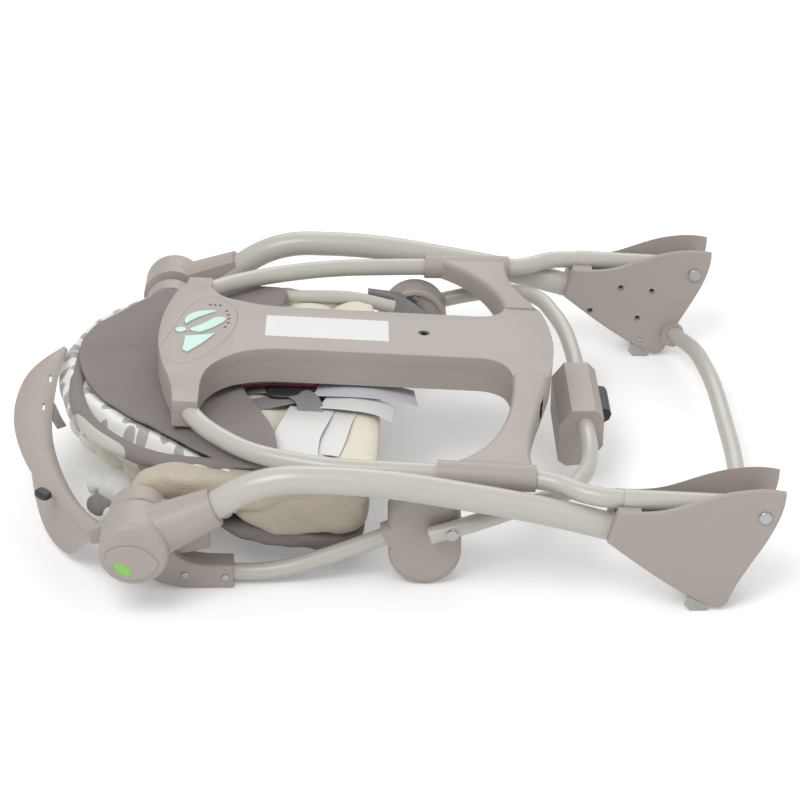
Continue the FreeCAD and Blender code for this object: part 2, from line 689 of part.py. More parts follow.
def yoke_arm():
    """One arm of the rear yoke, from the T of the console to its clamp on the ring tube."""
    outer_edge = Part.BSplineCurve()
    outer_edge.interpolate([V(-178, -YOKE_SPLIT, 0), V(-187, -109, 0), V(-199, -165, 0), V(-201, -205, 0),
                            V(-198, -224, 0)])
    inner_edge = Part.BSplineCurve()
    inner_edge.interpolate([V(-286, -220, 0), V(-266, -207, 0), V(-248, -190, 0), V(-230, -161, 0),
                            V(-216, -116, 0), V(-212, -YOKE_SPLIT, 0)])
    edges = [outer_edge.toShape(), inner_edge.toShape(),
             Part.LineSegment(V(-198, -224, 0), V(-286, -220, 0)).toShape(),
             Part.LineSegment(V(-212, -YOKE_SPLIT, 0), V(-178, -YOKE_SPLIT, 0)).toShape()]
    plan = Part.Wire(Part.__sortEdges__(edges))
    over = Part.BSplineCurve()
    over.interpolate([V(0, -YOKE_SPLIT, 26.2), V(0, -110, 20), V(0, -160, 13), V(0, -235, 10)])
    under = Part.BSplineCurve()
    under.interpolate([V(0, -YOKE_SPLIT, BEAM_BOTTOM), V(0, -130, -9.5), V(0, -235, -10)])
    front = Part.Wire(Part.__sortEdges__([
        over.toShape(), under.toShape(),
        Part.LineSegment(V(0, -YOKE_SPLIT, 26.2), V(0, -YOKE_SPLIT, BEAM_BOTTOM)).toShape(),
        Part.LineSegment(V(0, -235, 10), V(0, -235, -10)).toShape()]))
    face = Part.Face(front)
    face.translate(V(-320, 0, 0))
    arm = prism_z(plan, -40, 60).common(face.extrude(V(200, 0, 0)))
    upper = [e for e in arm.Edges if e.BoundBox.ZMin > 9.0 and e.BoundBox.YLength > 60]
    arm = arm.makeFillet(5.0, upper)
    hollow = block(-206, -184, -112, -YOKE_SPLIT + 1, BEAM_BOTTOM + SHELL, 16)
    arm = arm.cut(hollow)
    start = V(COLLAR_FROM, -217.8, -1.4)
    way = V(COLLAR_TO - COLLAR_FROM, -4.2, 1.2)
    collar = Part.makeCylinder(12.2, way.Length, start, way)
    return arm.fuse(collar).cut(rod_along(ring_points(), RING_TUBE_R + 0.25))


# ---------------------------------------------------------------- swing arms, thin tubes, brackets
ARM_HALF = 11.0
SEAT_TUBE_PATH = [(-503, 12.5), (-432, 10.0), (-372, 31), (-318, 53)]


def seat_tube_points():
    return [V(px(x), -ARM_Y, z) for x, z in SEAT_TUBE_PATH]


def seat_tube():
    return tube_along(seat_tube_points(), SEAT_TUBE_R)


def arm_outline():
    disc_r = 27.0
    points = [(-577, 60), (-566, 36), (-549, 14), (-526, 3.0), (-498, 0.4), (-469, 0.4)]
    low = Part.BSplineCurve()
    low.interpolate([V(px(x), 0, z) for x, z in points])
    high_points = [(-469, 23.5), (-497, 25), (-515, 31), (-526, 44), (-527, 60)]
    high = Part.BSplineCurve()
    high.interpolate([V(px(x), 0, z) for x, z in high_points])
    end = Part.LineSegment(V(px(-469), 0, 0.4), V(px(-469), 0, 23.5))
    crown = Part.Arc(V(px(-527), 0, 60), V(HUB_X, 0, HUB_Z + disc_r), V(px(-577), 0, 60))
    return Part.Wire([low.toShape(), end.toShape(), high.toShape(), crown.toShape()])


def swing_arm():
    """Moulded arm from the hub's axle down to the thin tube, with the plate that meets the seat back."""
    face = -ARM_Y - ARM_HALF
    arm = prism_y(arm_outline(), face, -ARM_Y + ARM_HALF)
    plate_wire = closed_wire([V(px(x), 0, z) for x, z in [(-548, 88), (-512, 84), (-489, 66), (-489, 38), (-530, 30)]])
    plate = prism_y(plate_wire, -ARM_Y - 3, -ARM_Y + 3)
    arm = arm.fuse(plate)
    arm = arm.makeFillet(2.0, [e for e in edges_at_y(arm, face) if e.Length > 30])
    bore = cylinder_y(HUB_X, HUB_Z, AXLE_R + 0.05, -260, -ARM_Y + 11)
    return arm.cut(rod_along(seat_tube_points(), SEAT_TUBE_R + 0.1)).cut(bore)


def arm_rivets():
    """Rivets through each arm's socket and the thin tube."""
    rivets = []
    for x, z in ((-512, 14.5), (-476, 11.5)):
        head = cylinder_y(px(x), z, 3.6, -ARM_Y - ARM_HALF - 1.6, -ARM_Y - ARM_HALF)
        head = head.makeFillet(1.2, edges_at_y(head, -ARM_Y - ARM_HALF - 1.6))
        shank = cylinder_y(px(x), z, 2.0, -ARM_Y - ARM_HALF, -ARM_Y - 7.0)
        rivets.append(head.fuse(shank))
    return rivets


def bracket_outline(inset=0.0):
    radius = BRACKET_R - inset
    low = BRACKET_R
    high = BRACKET_TOP - BRACKET_R
    cx = BRACKET_X
    return Part.Wire([
        Part.Arc(V(cx - radius, 0, low), V(cx, 0, low - radius), V(cx + radius, 0, low)).toShape(),
        Part.LineSegment(V(cx + radius, 0, low), V(cx + radius, 0, high)).toShape(),
        Part.Arc(V(cx + radius, 0, high), V(cx, 0, high + radius), V(cx - radius, 0, high)).toShape(),
        Part.LineSegment(V(cx - radius, 0, high), V(cx - radius, 0, low)).toShape()])


BRACKET_SPLIT = 199.0


def bracket_outer():
    shell = prism_y(bracket_outline(), -BRACKET_OUT, -BRACKET_SPLIT)
    shell = shell.makeFillet(7.0, edges_at_y(shell, -BRACKET_OUT))
    hollow = prism_y(bracket_outline(SHELL), -BRACKET_OUT + SHELL, -BRACKET_SPLIT + 1)
    shell = shell.cut(hollow)
    boss = Part.makeCylinder(12.0, 24, V(px(-332), -ARM_Y, 48.5), V(cos(radians(-20)), 0, sin(radians(20))))
    boss = boss.common(block(px(-345), px(-300), -BRACKET_OUT, -BRACKET_SPLIT, 20, 90))
    hub = cylinder_y(RECLINE_X, RECLINE_Z, 12, -BRACKET_OUT + 1, -BRACKET_SPLIT)
    shell = shell.fuse([boss, hub])
    tube_bore = rod_along(seat_tube_points(), SEAT_TUBE_R + 0.1)
    bolt_bore = cylinder_y(LEG_X, LEG_Z, LEG_BOLT_R + 0.05, -BRACKET_OUT - 1, -BRACKET_OUT + 8)
    return shell.cut([tube_bore, recline_bore(), bolt_bore])


def recline_bore():
    return cylinder_y(RECLINE_X, RECLINE_Z, RECLINE_PIN_R + 0.05, -BRACKET_OUT + 4, -100)


RECLINE_PIN_R = 4.5
LEG_BOLT_R = 3.0


def bracket_inner():
    """Inner cover of the seat bracket, with its three screw holes."""
    plate = prism_y(bracket_outline(0.0), -BRACKET_SPLIT, -BRACKET_IN)
    plate = plate.makeFillet(2.0, edges_at_y(plate, -BRACKET_IN))
    recess = prism_y(bracket_outline(5.0), -BRACKET_IN - 5, -BRACKET_IN + 1)
    holes = [cylinder_y(BRACKET_X + x, z, SCREW_R + 0.1, -BRACKET_SPLIT - 1, -BRACKET_IN) for x, z in BRACKET_SCREWS]
    return plate.cut([recess, recline_bore()] + holes)


BRACKET_SCREWS = [(-16, 22), (16, 22), (0, 86)]


def bracket_screws():
    return [screw(BRACKET_X + x, -BRACKET_IN - 5, z, (0, -1, 0), 10) for x, z in BRACKET_SCREWS]


# ---------------------------------------------------------------- seat: back loop
LOOP_R = 7.0


def loop_points():
    half = [(-318, BACK_Y, 84), (-362, BACK_Y, 96), (-450, BACK_Y, 97), (-522, BACK_Y - 1, 99),
            (-598, 132, 101), (-624, 58, BACK_Z)]
    points = [V(px(x), -y, z) for x, y, z in half]
    return points + [V(px(x), y, z) for x, y, z in reversed(half)]


def back_loop():
    """Back frame: bent tube from one bracket round the head end to the other."""
    return tube_along(loop_points(), LOOP_R)


def seat_plate():
    """Flat seat link: turns on the bracket's pin and takes the end of the back loop."""
    wire = closed_wire([V(px(x), 0, z) for x, z in [(-306, 52), (-284, 54), (-286, 76), (-312, 96), (-345, 101),
                                                   (-345, 84), (-318, 76)]])
    plate = prism_y(wire, -BRACKET_IN + 0.4, -BRACKET_IN + 4.4)
    pin = cylinder_y(RECLINE_X, RECLINE_Z, RECLINE_PIN_R, -BRACKET_OUT + 5, -BRACKET_IN + 1)
    return plate.fuse(pin)



# ---------------------------------------------------------------- leg frame and its vibration unit
LEG_R = 8.0
KNOB_R = 4.0
UNIT_HALF = 51.0
UNIT_X = (-163.0, -120.0)
UNIT_Z = (24.0, 84.0)
LEG_MID_Z = 68.0
LEG_MID_X = -137.0


def leg_points():
    half = [(-292, 235.5, 58.5), (-250, 233.5, 70.5), (-206, 224, 82), (-166, 206, 84), (-144, 150, 76),
            (LEG_MID_X, 100, LEG_MID_Z)]
    points = [V(px(x), -y, z) for x, y, z in half]
    return points + [V(px(x), y, z) for x, y, z in reversed(half)]


def leg_tube():
    return tube_along(leg_points(), LEG_R)


def unit_outline():
    """Side view of the vibration unit: flat front, rounded top and bottom."""
    x0, x1 = px(UNIT_X[0]), px(UNIT_X[1])
    z0, z1 = UNIT_Z
    wire = closed_wire([V(x0, 0, z0 + 6), V(x0 + 8, 0, z0), V(x1 - 14, 0, z0 + 2), V(x1, 0, z0 + 22), V(x1, 0, z1 - 8),
                        V(x1 - 8, 0, z1), V(x0 + 12, 0, z1), V(x0, 0, z1 - 16)])
    return wire


def unit_halves():
    """The unit's two shells, split along the tube that they clamp."""
    x0, x1 = px(UNIT_X[0]), px(UNIT_X[1])
    z0, z1 = UNIT_Z
    solid = prism_y(unit_outline(), -UNIT_HALF, UNIT_HALF)
    side = UNIT_HALF - SHELL
    rooms = [block(x0 + SHELL, x1 - SHELL, y0, y1, z0 + 6, z1 - 17)
             for y0, y1 in ((-side, -31), (-29, 24), (26, side))]
    rooms.append(block(x0 + 14, x1 - 12, -side, side, z1 - 18, z1 - SHELL))
    bore = Part.makeCylinder(LEG_R + 0.1, 2.4 * UNIT_HALF, V(px(LEG_MID_X), -1.2 * UNIT_HALF, LEG_MID_Z), V(0, 1, 0))
    solid = solid.cut(rooms).cut(bore)
    split = block(px(-180), px(LEG_MID_X), -80, 80, 0, 120)
    slot = block(px(-127.5), px(-110), -24.4, 24.4, 55.6, 72.4)
    front = solid.cut(split).cut([slot, cylinder_x(px(-130), 32, 48, KNOB_R + 0.05, 20)])
    return solid.common(split), front


def cylinder_x(x, y, z, radius, length):
    return Part.makeCylinder(radius, length, V(x, y, z), V(1, 0, 0))


def unit_switch():
    """Rocker on the unit's outer face, with its pivot inside the slot."""
    outline = [(-126, 58), (-118, 56), (-112, 60), (-110, 66), (-113, 71), (-119, 72), (-126, 70)]
    wire = closed_wire([V(px(x), 0, z) for x, z in outline])
    rocker = prism_y(wire, -24, 24)
    return rocker.makeFillet(1.2, [e for e in rocker.Edges if e.BoundBox.XMin > px(-117) and e.Length > 20])


def unit_knob():
    """Knob with a flange behind the unit's wall."""
    return cylinder_x(px(-128), 32, 48, KNOB_R, 17).fuse(cylinder_x(px(-127), 32, 48, KNOB_R + 1.5, 4))


def unit_cell():
    """Single C cell of the vibration unit."""
    return cylinder_y(px(-147), UNIT_Z[0] + 17.6, C_CELL_R - 2.0, -2.5 - C_CELL_LEN / 2, -2.5 + C_CELL_LEN / 2)


def vibration_motor():
    body = cylinder_y(px(-135), 37, 6, -48, -38)
    weight = cylinder_y(px(-135), 37, 4.5, -38, -33)
    return body.fuse(weight)


def leg_bolts():
    """Bolts on which the leg frame folds, one through each bracket's ear."""
    y = -BRACKET_OUT
    shank = cylinder_y(LEG_X, LEG_Z, LEG_BOLT_R, y - 17.6, y + 6)
    head = cylinder_y(LEG_X, LEG_Z, 5.2, y - 19.8, y - 17.6)
    return shank.fuse(head)


# ---------------------------------------------------------------- toy bar
TOY_AXIS_Y = (-HUB_IN + 0.6, -ARM_Y - ARM_HALF - 0.6)
BLADE = [(-590, -226, 60, 7), (-607, -196, 59, 8), (-626, -166, 62, 10), (-643, -136, 70, 13.5),
         (-656, -102, 79, 16), (-663, -66, 88, 18), (-663, -32, 97, 18), (-658, -4, 105, 15), (-649, 17, 110, 9),
         (-642, 31, 112, 3.5)]
BLADE_THICK = 3.0


def blade_section(point, half, along):
    """Arched section of the blade: a shallow lens, crown outwards."""
    x, y, z = point
    across = V(along.y, -along.x, 0).normalize()
    up = V(0, 0, 1)
    here = V(px(x), y, z)
    crown = 0.22 * half
    wire = [Part.Arc(here - across * half, here + up * (crown + BLADE_THICK), here + across * half).toShape(),
            Part.Arc(here + across * half, here + up * crown, here - across * half).toShape()]
    return Part.Wire(wire)


def toy_bar_blade():
    """Leaf-shaped blade that sweeps from the hub round the head end to a rounded tip."""
    sections = []
    for number, (x, y, z, half) in enumerate(BLADE):
        before = BLADE[max(number - 1, 0)]
        after = BLADE[min(number + 1, len(BLADE) - 1)]
        along = V(after[0] - before[0], after[1] - before[1], 0)
        sections.append(blade_section((x, y, z), half, along))
    blade = Part.makeLoft(sections, True, False)
    slots = [Part.makeBox(2.4, 9, 30, V(px(x), y, 80)) for x, y in ((-655, -60), (-652, -22))]
    return blade.cut(slots)


def toy_bar_paddle():
    """Upright lobe under the blade, on the same curve seen from above."""
    outline = Part.BSplineCurve()
    points = [(-586, 62), (-598, 46), (-611, 24), (-628, 8), (-645, 12), (-657, 32), (-661, 58), (-655, 82)]
    outline.interpolate([V(px(x), 0, z) for x, z in points])
    closing = [Part.LineSegment(V(px(-655), 0, 82), V(px(-655), 0, 120)).toShape(),
               Part.LineSegment(V(px(-655), 0, 120), V(px(-586), 0, 120)).toShape(),
               Part.LineSegment(V(px(-586), 0, 120), V(px(-586), 0, 62)).toShape()]
    lobe = prism_y(Part.Wire([outline.toShape()] + closing), -260, -90)
    rows = []
    for sign in (-1, 1):
        row = []
        for x, y, z, half in BLADE[:6]:
            row.append(V(px(x) - 0.35 * half, y - 0.5 * half + sign * 1.4, 0))
        rows.append(row)
    near = Part.BSplineCurve()
    near.interpolate(rows[0])
    far = Part.BSplineCurve()
    far.interpolate(rows[1])
    band = Part.Wire(Part.__sortEdges__([near.toShape(), far.toShape(),
                                         Part.LineSegment(rows[0][0], rows[1][0]).toShape(),
                                         Part.LineSegment(rows[0][-1], rows[1][-1]).toShape()]))
    strip = prism_z(band, 0, 120)
    under_blade = lobe.common(strip)
    low_sections = []
    first = BLADE[0]
    for x, y, z, half in [(first[0], -250, first[2] - 1, 0)] + BLADE[:7]:
        low_sections.append(closed_wire([V(px(x) - 40, y, z - 0.4), V(px(x) + 40, y, z - 0.4),
                                         V(px(x) + 40, y, 160), V(px(x) - 40, y, 160)]))
    lid = Part.makeLoft(low_sections, True, True)
    return under_blade.cut(lid)


def toy_bar_ring():
    """Disc on the hub's axle that carries the toy bar."""
    disc = cylinder_y(HUB_X, HUB_Z, 25, TOY_AXIS_Y[0], TOY_AXIS_Y[1])
    arm = prism_y(closed_wire([V(HUB_X, 0, HUB_Z - 12), V(px(-594), 0, 54), V(px(-594), 0, 68),
                               V(HUB_X, 0, HUB_Z + 14)]), TOY_AXIS_Y[0], TOY_AXIS_Y[1])
    return disc.fuse(arm).cut(cylinder_y(HUB_X, HUB_Z, AXLE_R + 0.1, -300, -200))


# ---------------------------------------------------------------- soft parts
def half_oval(x_middle, reach, half_width, z_from, z_to, x_end):
    """Cushion seen from above: a half oval towards -X, straight to x_end."""
    arc = Part.Arc(V(x_middle, -half_width, 0), V(x_middle - reach, 0, 0), V(x_middle, half_width, 0))
    edges = [arc.toShape()]
    if x_end > x_middle:
        edges += [Part.LineSegment(V(x_middle, half_width, 0), V(x_end, half_width, 0)).toShape(),
                  Part.LineSegment(V(x_end, half_width, 0), V(x_end, -half_width, 0)).toShape(),
                  Part.LineSegment(V(x_end, -half_width, 0), V(x_middle, -half_width, 0)).toShape()]
    return prism_z(Part.Wire(edges), z_from, z_to)


def softened(shape, radius):
    return shape.makeFillet(radius, shape.Edges)


def back_panel():
    """Back pocket stretched inside the loop."""
    panel = half_oval(px(-545), 74, 157, 97, 108, px(-440))
    return panel.cut(rod_along(loop_points(), LOOP_R + GAP))


def head_pillow():
    return softened(half_oval(px(-545), 92, 150, 53.3, 94.6, px(-520)), 8)


def seat_lining():
    return softened(block(px(-436), px(-338), -170, 170, 74, 94), 6)


def side_bolster():
    return softened(block(px(-508), px(-372), -203, -178, 52, 90.7), 8)


def leg_pad():
    return softened(block(px(-452), px(-350), -172, 172, 30, 73.6), 10)


def harness():
    """Harness webbing folded over the lining, with the buckle's two halves."""
    return block(px(-470), px(-400), -18, 18, 94.4, 96.4)


def buckle():
    body = block(px(-440), px(-408), -24, 24, 96.8, 104)
    return body.makeFillet(2.0, edges_at_z(body, 104))


def plush_toy():
    body = Part.makeSphere(26, V(px(-566), -98, 27))
    ear = Part.makeSphere(13, V(px(-602), -104, 14))
    return body.fuse(ear)


# ---------------------------------------------------------------- writing the sub-parts
def write_stand():
    save_pair("side_tubes", side_tube())
    save_pair("foot_outer_shells", foot_outer().fuse(foot_bosses()))
    save_pair("foot_inner_shells", foot_inner())
    save("cross_tube", cross_tube())
    save_pair("fold_pins", fold_pin())
    save_pair("foot_pads", foot_pad(-STAND_HALF - FOOT_HALF + 0.5, -STAND_HALF - FOOT_HALF + SHELL),
              foot_pad(-STAND_HALF + FOOT_HALF - SHELL, -STAND_HALF + FOOT_HALF - 0.5))
    outer, inner = hub_shells()
    save_pair("hub_outer_shells", outer)
    save_pair("hub_inner_shells", inner)
    save_pair("hub_caps", hub_cap())
    save_pair("lock_indicators", lock_indicator())
    save("release_lever_right", release_lever())
    save("release_lever_left", mirrored(release_lever()))
    save("drive_motor", drive_motor(), drive_worm())
    save("drive_gear", drive_gear())


def write_ring():
    outer = console_solid(0)
    inner = console_solid(SHELL)
    panel, buttons, windows, gap = control_parts(outer, inner)
    top, bottom = console_shells(outer, inner, gap)
    contacts = battery_contacts() + battery_tray()
    board_parts = board_chips() + board_posts()
    save("ring_tubes", on_ring(ring_tube()), on_ring(mirrored(ring_tube())))
    save("ring_sleeves", on_ring(ring_sleeve()), on_ring(mirrored(ring_sleeve())))
    save("yoke_arms", on_ring(yoke_arm()), on_ring(mirrored(yoke_arm())))
    save("console_top", on_ring(top))
    save("console_bottom", on_ring(bottom))
    save("control_panel", on_ring(panel))
    for name, button in buttons.items():
        save(name, on_ring(button))
    save("light_windows", *[on_ring(w) for w in windows])
    save("battery_door", on_ring(battery_door()))
    save("batteries", *[on_ring(c) for c in batteries()])
    save("battery_contacts", *[on_ring(c) for c in contacts])
    save("control_board", on_ring(control_board()), *[on_ring(c) for c in board_parts])
    save("speaker", on_ring(speaker()))
    save("power_inlet", on_ring(power_inlet()))
    save("instruction_label", on_ring(instruction_label(outer)))
    save("console_screws", *[on_ring(s) for s in console_screws()])


def write_arms():
    save_pair("swing_axles", swing_axle())
    save_pair("swing_arms", swing_arm())
    save_pair("seat_tubes", seat_tube())
    save_pair("arm_rivets", *arm_rivets())
    save_pair("bracket_shells", bracket_outer())
    save_pair("bracket_covers", bracket_inner())
    save_pair("bracket_screws", *bracket_screws())


def write_seat():
    save("back_loop", back_loop())
    save_pair("seat_plates", seat_plate())
    save("back_panel", back_panel())
    save("head_pillow", head_pillow())
    save("seat_lining", seat_lining())
    save_pair("side_bolsters", side_bolster())
    save("leg_pad", leg_pad())
    save("harness_webbing", harness())
    save("harness_buckle", buckle())
    save("plush_toy", plush_toy())


def write_legs():
    back, front = unit_halves()
    save("leg_tube", leg_tube())
    save("unit_back", back)
    save("unit_front", front)
    save("unit_switch", unit_switch())
    save("unit_knob", unit_knob())
    save("vibration_drive", vibration_motor(), unit_cell())
    save_pair("leg_bolts", leg_bolts())


def write_toy_bar():
    save("toy_bar_blade", toy_bar_blade())
    save("toy_bar_paddle", toy_bar_paddle())
    save("toy_bar_ring", toy_bar_ring())


write_stand()
write_ring()
write_arms()
write_seat()
write_legs()
write_toy_bar()
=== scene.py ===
import bmesh
import bpy
import json
import numpy as np
from math import pi, radians
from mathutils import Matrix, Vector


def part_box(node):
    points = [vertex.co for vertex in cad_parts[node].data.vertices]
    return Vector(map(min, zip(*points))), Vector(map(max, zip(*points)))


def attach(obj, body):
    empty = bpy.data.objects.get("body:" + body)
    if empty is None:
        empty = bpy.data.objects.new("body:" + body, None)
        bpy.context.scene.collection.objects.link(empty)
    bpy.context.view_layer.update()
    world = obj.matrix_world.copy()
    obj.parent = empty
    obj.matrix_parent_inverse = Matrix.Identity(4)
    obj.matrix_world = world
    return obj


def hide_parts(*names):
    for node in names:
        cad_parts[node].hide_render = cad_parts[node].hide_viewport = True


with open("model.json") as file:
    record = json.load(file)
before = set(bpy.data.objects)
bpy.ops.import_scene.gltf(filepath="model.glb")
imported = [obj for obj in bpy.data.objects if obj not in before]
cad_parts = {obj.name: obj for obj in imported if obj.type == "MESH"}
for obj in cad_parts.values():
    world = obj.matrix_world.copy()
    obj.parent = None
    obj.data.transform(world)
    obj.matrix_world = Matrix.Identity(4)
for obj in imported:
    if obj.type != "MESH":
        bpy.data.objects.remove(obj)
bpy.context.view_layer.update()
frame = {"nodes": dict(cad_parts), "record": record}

bl_info = {
    "name": "Folding baby swing",
    "version": (1, 0, 0),
    "blender": (4, 5, 0),
    "location": "3D View > Sidebar > Swing",
    "description": "Finishes and soft parts of a folding baby swing, built round its CAD frame",
    "category": "Object",
}

# The fold pins' axis: lengths below are in millimetres from it, along the swing.
PIN_X = float(np.mean([corner[0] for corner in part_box("fold_pins")]))
MM = 0.001


def at(points):
    """Points (x from the fold pins, y, z) in millimetres, as metres in the row frame."""
    return np.array(points, float) * MM + np.array([PIN_X, 0, 0])


# ---------------------------------------------------------------- curves and surfaces
def smooth_path(points, count, closed=False):
    """Catmull-Rom curve through the points, evaluated at count even steps of its parameter."""
    p = np.array(points, float)
    n = len(p)
    spans = n if closed else n - 1
    t = np.linspace(0, spans, count, endpoint=not closed)
    i = np.minimum(t.astype(int), spans - 1)
    s = (t - i)[:, None]
    if closed:
        a, b, c, d = (p[(i + k) % n] for k in (-1, 0, 1, 2))
    else:
        a, b, c, d = (p[np.clip(i + k, 0, n - 1)] for k in (-1, 0, 1, 2))
    return 0.5 * (2 * b + (c - a) * s + (2 * a - 5 * b + 4 * c - d) * s ** 2
                  + (3 * b - a - 3 * c + d) * s ** 3)


def crumple(p, size, amount, seed):
    """Smooth cloth unevenness: the mean of eight sine waves of random direction and phase."""
    rng = np.random.default_rng(seed)
    ways = rng.normal(size=(8, 3))
    ways /= np.linalg.norm(ways, axis=1)[:, None]
    waves = ways * (2 * pi / size * rng.uniform(0.6, 1.7, size=8)[:, None])
    phase = rng.uniform(0, 2 * pi, size=8)
    return amount * np.sin(p @ waves.T + phase).sum(-1) / 3


def skin(name, grid, wrap_u=False, wrap_v=False, uv=None):
    """A surface through a grid of points (u, v, xyz), with doubles merged and faces outwards."""
    nu, nv = grid.shape[:2]
    u = np.arange(nu if wrap_u else nu - 1)
    v = np.arange(nv if wrap_v else nv - 1)
    uu, vv = np.meshgrid(u, v, indexing="ij")
    un, vn = (uu + 1) % nu, (vv + 1) % nv
    faces = np.stack([uu * nv + vv, un * nv + vv, un * nv + vn, uu * nv + vn], -1).reshape(-1, 4)
    mesh = bpy.data.meshes.new(name)
    mesh.from_pydata(grid.reshape(-1, 3).tolist(), [], faces.tolist())
    if uv is not None:
        layer = mesh.uv_layers.new(name="UVMap")
        loops = np.empty(len(mesh.loops), int)
        mesh.loops.foreach_get("vertex_index", loops)
        layer.data.foreach_set("uv", uv.reshape(-1, 2)[loops].astype(np.float32).ravel())
    shape = bmesh.new()
    shape.from_mesh(mesh)
    bmesh.ops.remove_doubles(shape, verts=shape.verts, dist=1e-6)
    bmesh.ops.recalc_face_normals(shape, faces=shape.faces)
    shape.to_mesh(mesh)
    shape.free()
    mesh.shade_smooth()
    piece = bpy.data.objects.new(name, mesh)
    bpy.context.scene.collection.objects.link(piece)
    return piece


def frames_along(path, up):
    """Tangent, side and normal of a path, kept upright with the up direction."""
    tangent = np.gradient(path, axis=0)
    tangent /= np.linalg.norm(tangent, axis=1)[:, None]
    side = np.cross(up, tangent)
    side /= np.linalg.norm(side, axis=1)[:, None]
    return tangent, side, np.cross(tangent, side)


def rope(name, path, radius, closed=False, sides=10, up=(0, 0, 1)):
    """A round cord or piping: circles of the radius along the path, closed at both ends."""
    _, side, normal = frames_along(path, np.array(up, float))
    angle = np.linspace(0, 2 * pi, sides, endpoint=False)
    ring = np.cos(angle)[None, :, None] * side[:, None] + np.sin(angle)[None, :, None] * normal[:, None]
    radii = np.broadcast_to(np.asarray(radius, float), (len(path),))
    grid = path[:, None] + ring * radii[:, None, None]
    if not closed:
        start = np.repeat(path[:1, None], sides, 1)
        end = np.repeat(path[-1:, None], sides, 1)
        grid = np.concatenate([start, grid, end])
    return skin(name, grid, wrap_u=closed, wrap_v=True)


def strap(name, path, width, thick, up=(0, 0, 1)):
    """Flat webbing or a label: a rounded flat section carried along the path."""
    _, side, normal = frames_along(path, np.array(up, float))
    angle = np.linspace(0, 2 * pi, 16, endpoint=False)
    across = np.sign(np.cos(angle)) * np.abs(np.cos(angle)) ** 0.25 * width / 2
    height = np.sign(np.sin(angle)) * np.abs(np.sin(angle)) ** 0.5 * thick / 2
    grid = path[:, None] + across[None, :, None] * side[:, None] + height[None, :, None] * normal[:, None]
    start = np.repeat(grid[:1].mean(1, keepdims=True), 16, 1)
    end = np.repeat(grid[-1:].mean(1, keepdims=True), 16, 1)
    return skin(name, np.concatenate([start, grid, end]), wrap_v=True)


def pillow_form(name, outline, middle, low, high, edge=0.4, shape=None, steps=40):
    """A crowned closed form on an outline (points, 3): the outline shrinks to the middle by cos(a)^edge
    and rises by sin(a)^edge, above to high and below to low; shape(points) adds an offset to each point."""
    angle = np.linspace(pi / 2, -pi / 2, steps)
    cos, sin = np.cos(angle), np.sin(angle)
    spread = np.abs(cos) ** edge
    rise = np.sign(sin) * np.abs(sin) ** edge
    grid = middle + (outline[None] - middle) * spread[:, None, None]
    level = np.where(rise > 0, rise * high, -rise * low)
    grid = grid + level[:, None, None] * np.array([0, 0, 1.0])
    if shape is not None:
        grid = grid + shape(grid)
    grid[0] = grid[0].mean(0)
    grid[-1] = grid[-1].mean(0)
    return skin(name, grid, wrap_v=True)


# ---------------------------------------------------------------- materials
def node_of(tree, kind, **values):
    node = tree.nodes.new(kind)
    for key, value in values.items():
        setattr(node, key, value)
    return node


def new_group(name, inputs, outputs):
    """An empty shader group with named float or colour sockets."""
    tree = bpy.data.node_groups.new(name, "ShaderNodeTree")
    for label, kind, default in inputs:
        socket = tree.interface.new_socket(label, in_out="INPUT", socket_type=kind)
        socket.default_value = default
    for label, kind in outputs:
        tree.interface.new_socket(label, in_out="OUTPUT", socket_type=kind)
    return tree, tree.nodes.new("NodeGroupInput"), tree.nodes.new("NodeGroupOutput")


def mottle_group():
    """Uneven colour and roughness: broad cloudy noise times fine grain, and its height for bump."""
    tree, given, result = new_group(
        "mottle",
        [("Color", "NodeSocketColor", (1, 1, 1, 1)), ("Scale", "NodeSocketFloat", 60.0),
         ("Shade", "NodeSocketFloat", 0.1), ("Grain", "NodeSocketFloat", 900.0)],
        [("Color", "NodeSocketColor"), ("Mask", "NodeSocketFloat"), ("Height", "NodeSocketFloat")])
    link = tree.links.new
    place = node_of(tree, "ShaderNodeTexCoord")
    cloud = node_of(tree, "ShaderNodeTexNoise")
    grain = node_of(tree, "ShaderNodeTexNoise")
    cloud.inputs["Detail"].default_value = 5
    link(place.outputs["Object"], cloud.inputs["Vector"])
    link(place.outputs["Object"], grain.inputs["Vector"])
    link(given.outputs["Scale"], cloud.inputs["Scale"])
    link(given.outputs["Grain"], grain.inputs["Scale"])
    darker = node_of(tree, "ShaderNodeMath", operation="MULTIPLY")
    link(cloud.outputs["Fac"], darker.inputs[0])
    link(given.outputs["Shade"], darker.inputs[1])
    shade = node_of(tree, "ShaderNodeMix", data_type="RGBA", blend_type="MULTIPLY")
    shade.inputs["B"].default_value = (0.45, 0.44, 0.42, 1)
    link(darker.outputs[0], shade.inputs["Factor"])
    link(given.outputs["Color"], shade.inputs["A"])
    link(shade.outputs["Result"], result.inputs["Color"])
    link(cloud.outputs["Fac"], result.inputs["Mask"])
    link(grain.outputs["Fac"], result.inputs["Height"])
    return tree


